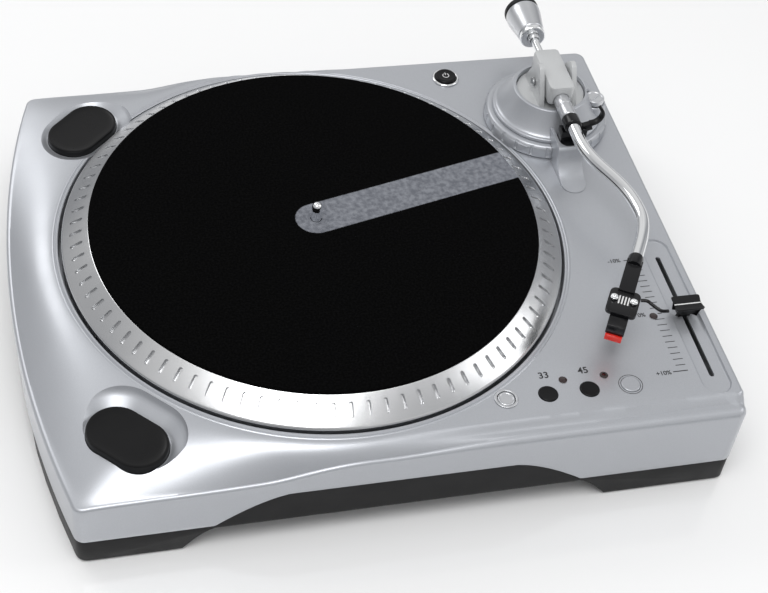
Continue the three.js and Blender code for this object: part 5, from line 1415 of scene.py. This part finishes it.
@dataclass
class ArmTower(Assembly):
    """Arm base with its marked ring, dome, anti-skate dial, rest and cradle."""

    anchor: Anchor = field(default_factory=lambda: PIVOT)
    marks: int = 24
    mark_depth: float = 0.7
    foot: float = 74.3  # height of the ring's underside, just over the deck

    def base(self) -> None:
        """Silver ring with 24 engraved marks round its flank, over a spigot in the deck."""
        low, high = self.anchor.local("arm_base")
        foot, top, radius = self.foot, high[2], high[0]
        spigot = [(4, low[2]), (24, low[2]), (24, foot), (radius - 0.6, foot), (radius, foot + 0.8)]
        flank = [(radius - 0.5, top - 2.4), (radius - 1.8, top - 0.6), (radius - 3.4, top), (4, top)]
        profile = filleted(spigot + flank, 0.8, 5)
        run = run_along(profile)
        place = np.unique(np.concatenate([run, np.linspace(0, run[-1], 90)]))
        fine = taken_at(profile, run, place)
        rings = around(fine, 720)
        angle, reach = np.arctan2(rings[..., 1], rings[..., 0]), np.hypot(rings[..., 0], rings[..., 1])
        height = rings[..., 2]
        pitch = 2 * math.pi / self.marks
        beside = np.abs((angle + pitch / 2) % pitch - pitch / 2) * radius
        rising = np.clip((height - foot - 1.4) / 0.5, 0, 1)
        falling = np.clip((top - 1.0 - height) / 0.5, 0, 1)
        outer = (reach > radius - 3).astype(float)
        cut = self.mark_depth * rising * falling * outer * (1 - smooth((beside - 0.7) / 0.4))
        rings[..., :2] *= (1 - cut / reach)[..., None]
        self.add("tower_ring", wrapped(rings), Look.SILVER, ["arm_base"], sharp=SOFT_SHARP)

    def dome(self) -> None:
        """Flared dome that narrows in a concave sweep to a flat top, with a bright step at its foot."""
        low, high = self.anchor.local("arm_dome")
        bottom, top, foot = low[2], high[2], high[0]
        t = np.linspace(0, 1, 20)
        radius, rise = blend(foot - 2.6, 27.6, t**0.92), blend(bottom + 3.2, top - 0.3, t**1.12)
        hem = [(25.2, bottom), (foot - 0.3, bottom), (foot, bottom + 0.4), (foot - 0.1, bottom + 2.2)]
        hem += [(foot - 0.8, bottom + 2.7), (foot - 1.9, bottom + 2.75)]
        profile = [*hem, *np.column_stack([radius, rise]).tolist(), (26.6, top), (25.2, top)]
        dome = mesh_of("dome", lathe(profile, 192, 0.35, ring=True), self.anchor)
        x, y = self.middle("anti_skate_dial")
        housing = [(8.6, bottom + 1), (9.2, 88.0), (8.8, 93.6), (8.2, 94.6), (7.6, 94.7)]
        tower = lathe(housing, 96, 0.5).moved(x, y)
        steps = [("UNION", tower), *cutting(disc(7.3, 93.2, 120, x, y))]
        mesh = carved(dome, steps, self.anchor)
        self.dress("tower_dome", shaded(mesh, 35.0), Look.SILVER, ["arm_dome"])

    def dial(self) -> None:
        """Anti-skate dial with a raised grip across its hollowed face."""
        low, high = self.anchor.local("anti_skate_dial")
        top = high[2]
        crown = [(7, -0.6), (6.5, 0), (5.6, -0.2), (5.2, -0.7), (0.5, -0.7)]
        cap = lathe(over(low[2], [(6.6, 0), (7, 0.4)]) + over(top, crown), 96, 0.3)
        grip = block((9.6, 1.7), 0.8, top - 0.8, top - 0.02, 0.3).turned("Z", 35)
        place = self.middle("anti_skate_dial")
        plain = mesh_of("dial", cap.moved(*place), self.anchor)
        mesh = carved(plain, [("UNION", grip.moved(*place))], self.anchor)
        self.dress("skate_dial", shaded(mesh, 35.0), Look.SILVER_SATIN, ["anti_skate_dial"])

    def build(self) -> None:
        """Builds the tower and its fittings."""
        self.base()
        self.dome()
        self.dial()
        self.refine_all(
            {
                "arm_rest": (Look.SILVER, 0.8, 4),
                "arm_cradle": (Look.GLOSS_BLACK, 0.4, 3),
                "arm_lock": (Look.SATIN_BLACK, 0.3, 2),
            }
        )


@dataclass
class Arm(Assembly):
    """The arm: yoke, block, tube, headshell, cartridge, shaft and weight."""

    anchor: Anchor = field(default_factory=lambda: PIVOT)
    axis: float = 110.0  # height of the tube's centre line
    head: Pair = (2.6, -181.0)  # where the tube ends
    head_turn: float = 30.0  # degrees that the head turns in

    def tube_piece(self) -> None:
        """S-shaped chrome tube: straight, swaying out, and turned in to the head."""
        turn, (x, y) = math.radians(self.head_turn), self.head
        last = (x + 15 * math.sin(turn), y + 15 * math.cos(turn))
        straight = np.column_stack([np.zeros(4), np.linspace(-52.3, -62.3, 5)[:4]])
        outward = cubic([(0, -62.3), (0, -96), (19, -104), (19, -140)], 60)
        inward = cubic([(19, -140), (19, -154), last, self.head], 40)
        plan = np.vstack([straight, outward, inward[1:]])
        path = np.column_stack([plan, np.full(len(plan), self.axis)])
        self.add("s_tube", tube(path, 4.4, 48), Look.CHROME, ["arm_tube"])

    def turned_parts(self) -> None:
        """Collar, clip sleeve, rear shaft, weight sleeve, weight, cap and dial."""
        profiles = {
            "front_collar": [
                (4.9, -14.3), (5.6, -15.5), (5.6, -30), (5.35, -30.4), (5.35, -31.2),
                (5.6, -31.6), (5.6, -41.2), (5.1, -42), (0.5, -42),
            ],
            "rest_sleeve": [(5.2, -42.3), (6.2, -43.1), (6.2, -51.2), (5.4, -52), (0.5, -52)],
            "rear_shaft": [(2.9, 15.3), (2.9, 71), (2.3, 72), (0.5, 72)],
            "weight_sleeve": [(3.1, 46), (4.1, 46), (4.3, 46.3), (4.3, 75.3), (4.1, 75.5), (3.1, 75.5)],
            "counterweight": [
                (4.6, 54), (9.0, 54), (9.8, 54.8), (10.3, 58), (12.4, 71), (12.9, 74.5),
                (13.0, 77.6), (12.7, 78.5), (4.6, 78.5),
            ],
            "weight_cap": [
                (0.6, 78.8), (12.4, 78.8), (13.0, 79.4), (13.0, 82.6), (12.1, 83.8),
                (10.3, 84.1), (9.7, 83.5), (0.6, 83.5),
            ],
            "weight_dial": [
                (4.6, 49.8), (8.8, 49.8), (9.5, 50.4), (9.6, 53.3), (9.2, 53.7), (4.6, 53.7),
            ],
        }
        names = {
            "front_collar": ("collar", Look.SILVER_SATIN),
            "rest_sleeve": ("clip_sleeve", Look.GLOSS_BLACK),
            "rear_shaft": ("shaft_rod", Look.CHROME),
            "weight_sleeve": ("sleeve_pipe", Look.ALUMINIUM),
            "counterweight": ("weight_body_ring", Look.SILVER_SATIN),
            "weight_cap": ("weight_end", Look.MATT_BLACK),
            "weight_dial": ("force_ring", Look.CHROME),
        }
        bored = ("weight_sleeve", "counterweight", "weight_dial")
        for node, profile in profiles.items():
            name, look = names[node]
            skin = lathe_along_y(profile, self.axis, segments=96, rounding=0.35, ring=node in bored)
            self.add(name, skin, look, [node])

    def block(self) -> None:
        """Soft-edged pivot block, bored for the collar, the rear shaft and the two pivot pins."""
        low, high = self.anchor.local("pivot_block")
        size = high - low
        body = block(size[:2], 3.6, low[2], high[2], 2.2).moved(0, (low[1] + high[1]) / 2)
        bores = [disc(5.9, 14.0, 30.0).turned("X", 90), disc(3.2, 15.0, 30.0).turned("X", -90)]
        bores += [disc(1.9, 7.0, 12.0).turned("Y", side) for side in (90, -90)]
        cuts = cutting(*(bore.moved(z=self.axis) for bore in bores))
        mesh = carved(mesh_of("block", body, self.anchor), cuts, self.anchor)
        self.dress("arm_block", shaded(mesh, SOFT_SHARP), Look.LIGHT_GREY, ["pivot_block"])

    def ribs(self) -> None:
        """Four pale ribs across the headshell between its two screws."""
        rib = block((1.0, 7.4), 0.4, 109.35, 109.85, 0.15)
        ribs = [rib.moved(2.0 * step - 3.0, -41) for step in range(4)]
        joined = ribs[0].joined(*ribs[1:]).turned("Z", -self.head_turn).moved(*self.head)
        self.add("head_ribs", joined, Look.PALE_INK, [], "arm_body", "socket_white")

    def build(self) -> None:
        """Builds the arm's pieces from the yoke outward."""
        self.refine_all(
            {
                "arm_yoke": (Look.LIGHT_GREY, 0.6, 3),
                "pivot_screw_left": (Look.STEEL, 0.2, 2),
                "pivot_screw_right": (Look.STEEL, 0.2, 2),
            }
        )
        self.block()
        self.turned_parts()
        self.tube_piece()
        self.refine_all(
            {
                "headshell": (Look.GLOSS_BLACK, 0.7, 3),
                "head_screw_left": (Look.CHROME, 0.25, 2),
                "head_screw_right": (Look.CHROME, 0.25, 2),
            }
        )
        self.ribs()
        self.refine_all(
            {
                "finger_lift": (Look.GLOSS_BLACK, 0.25, 2),
                "cartridge": (Look.GLOSS_BLACK, 0.5, 3),
                "stylus_holder": (Look.RED, 0.3, 2),
            }
        )


# ---------------------------------------------------------------- the setting


@dataclass
class Studio:
    """Pale floor, soft lights and the camera."""

    centre: Triple = (-0.1927, -0.7423, 0.8319)  # from the spindle's foot
    camera_turn: Triple = (43.1668, -5.3782, -12.7255)  # degrees about X, Y and Z
    lens: float = 74.88
    sky_strength: float = 0.74
    target: Triple = (0.0, 0.0, 0.08)  # the point that the lights face

    def floor(self) -> None:
        """Wide, pale and slightly glossy floor."""
        mesh = bpy.data.meshes.new("floor")
        size = 8.0  # metres from the middle to an edge
        corners = [(-size, -size, 0), (size, -size, 0), (size, size, 0), (-size, size, 0)]
        mesh.from_pydata(corners, [], [(0, 1, 2, 3)])
        shader = Shader("floor", (0.95, 0.95, 0.95), 0.07, 0.0)
        shader.set("Specular IOR Level", 1.0)
        mesh.materials.append(shader.material)
        linked("floor", mesh)

    def light(self, name: str, place: Triple, size: float, power: float) -> None:
        """Adds one square soft light that faces the record player.

        Args:
            name: Its name.
            place: Where it stands, in metres.
            size: Side of the square.
            power: Watts.
        """
        lamp = bpy.data.lights.new(name, "AREA")
        lamp.energy, lamp.size = power, size
        holder = linked(name, lamp)
        holder.location = place
        facing = Vector(self.target) - Vector(place)
        holder.rotation_euler = facing.to_track_quat("-Z", "Y").to_euler()

    def sky(self) -> None:
        """Pale surroundings with soft darker clouds, for contrast in the metal."""
        world = bpy.data.worlds.new("studio")
        bpy.context.scene.world = world
        world.use_nodes = True
        tree = world.node_tree
        place = tree.nodes.new("ShaderNodeTexCoord")
        split = tree.nodes.new("ShaderNodeSeparateXYZ")
        ramp = tree.nodes.new("ShaderNodeValToRGB")
        cloud = tree.nodes.new("ShaderNodeTexNoise")
        cloud.inputs["Scale"].default_value = 1.7
        cloud.inputs["Detail"].default_value = 1.0
        tree.links.new(place.outputs["Generated"], cloud.inputs["Vector"])
        tree.links.new(place.outputs["Generated"], split.inputs[0])
        height = tree.nodes.new("ShaderNodeMath")
        height.operation = "MULTIPLY_ADD"
        height.inputs[1].default_value = 0.35
        tree.links.new(split.outputs[2], height.inputs[0])
        tree.links.new(cloud.outputs[0], height.inputs[2])
        tree.links.new(height.outputs[0], ramp.inputs[0])
        stops = ((0.46, (0.42, 0.43, 0.45, 1.0)), (0.8, (1.0, 1.0, 1.0, 1.0)))
        for stop, (position, colour) in zip(ramp.color_ramp.elements, stops):
            stop.position, stop.color = position, colour
        back = tree.nodes["Background"]
        back.inputs["Strength"].default_value = self.sky_strength
        tree.links.new(ramp.outputs[0], back.inputs["Color"])

    def camera(self) -> None:
        """Camera over the front left corner, turned a little on its axis."""
        data = bpy.data.cameras.new("camera")
        data.lens, data.sensor_width = self.lens, 36.0
        holder = linked("camera", data)
        place = Vector(self.centre) + Vector((SPINDLE.x, SPINDLE.y, 0))
        turn = Euler([math.radians(angle) for angle in self.camera_turn]).to_matrix()
        holder.matrix_world = Matrix.Translation(place) @ turn.to_4x4()
        bpy.context.scene.camera = holder

    def build(self) -> None:
        """Sets the floor, lights, sky and camera."""
        self.floor()
        self.light("top", (-0.3, -0.62, 1.75), 0.9, 13.0)
        self.light("rear", (-0.9, 1.3, 1.3), 0.8, 6.0)
        self.light("side", (1.6, -0.2, 1.2), 0.8, 4.0)
        self.sky()
        self.camera()
        bpy.context.scene.view_settings.view_transform = "Standard"


def main() -> None:
    """Builds the record player's pieces in order, then the setting."""
    logging.basicConfig(level=logging.INFO, format="%(name)s %(message)s")
    Plinth(SPINDLE).build()
    Deck(SPINDLE).build()
    PitchControl(SPINDLE).build()
    ArmTower().build()
    Arm().build()
    Studio().build()


if __name__ == "__main__":
    main()
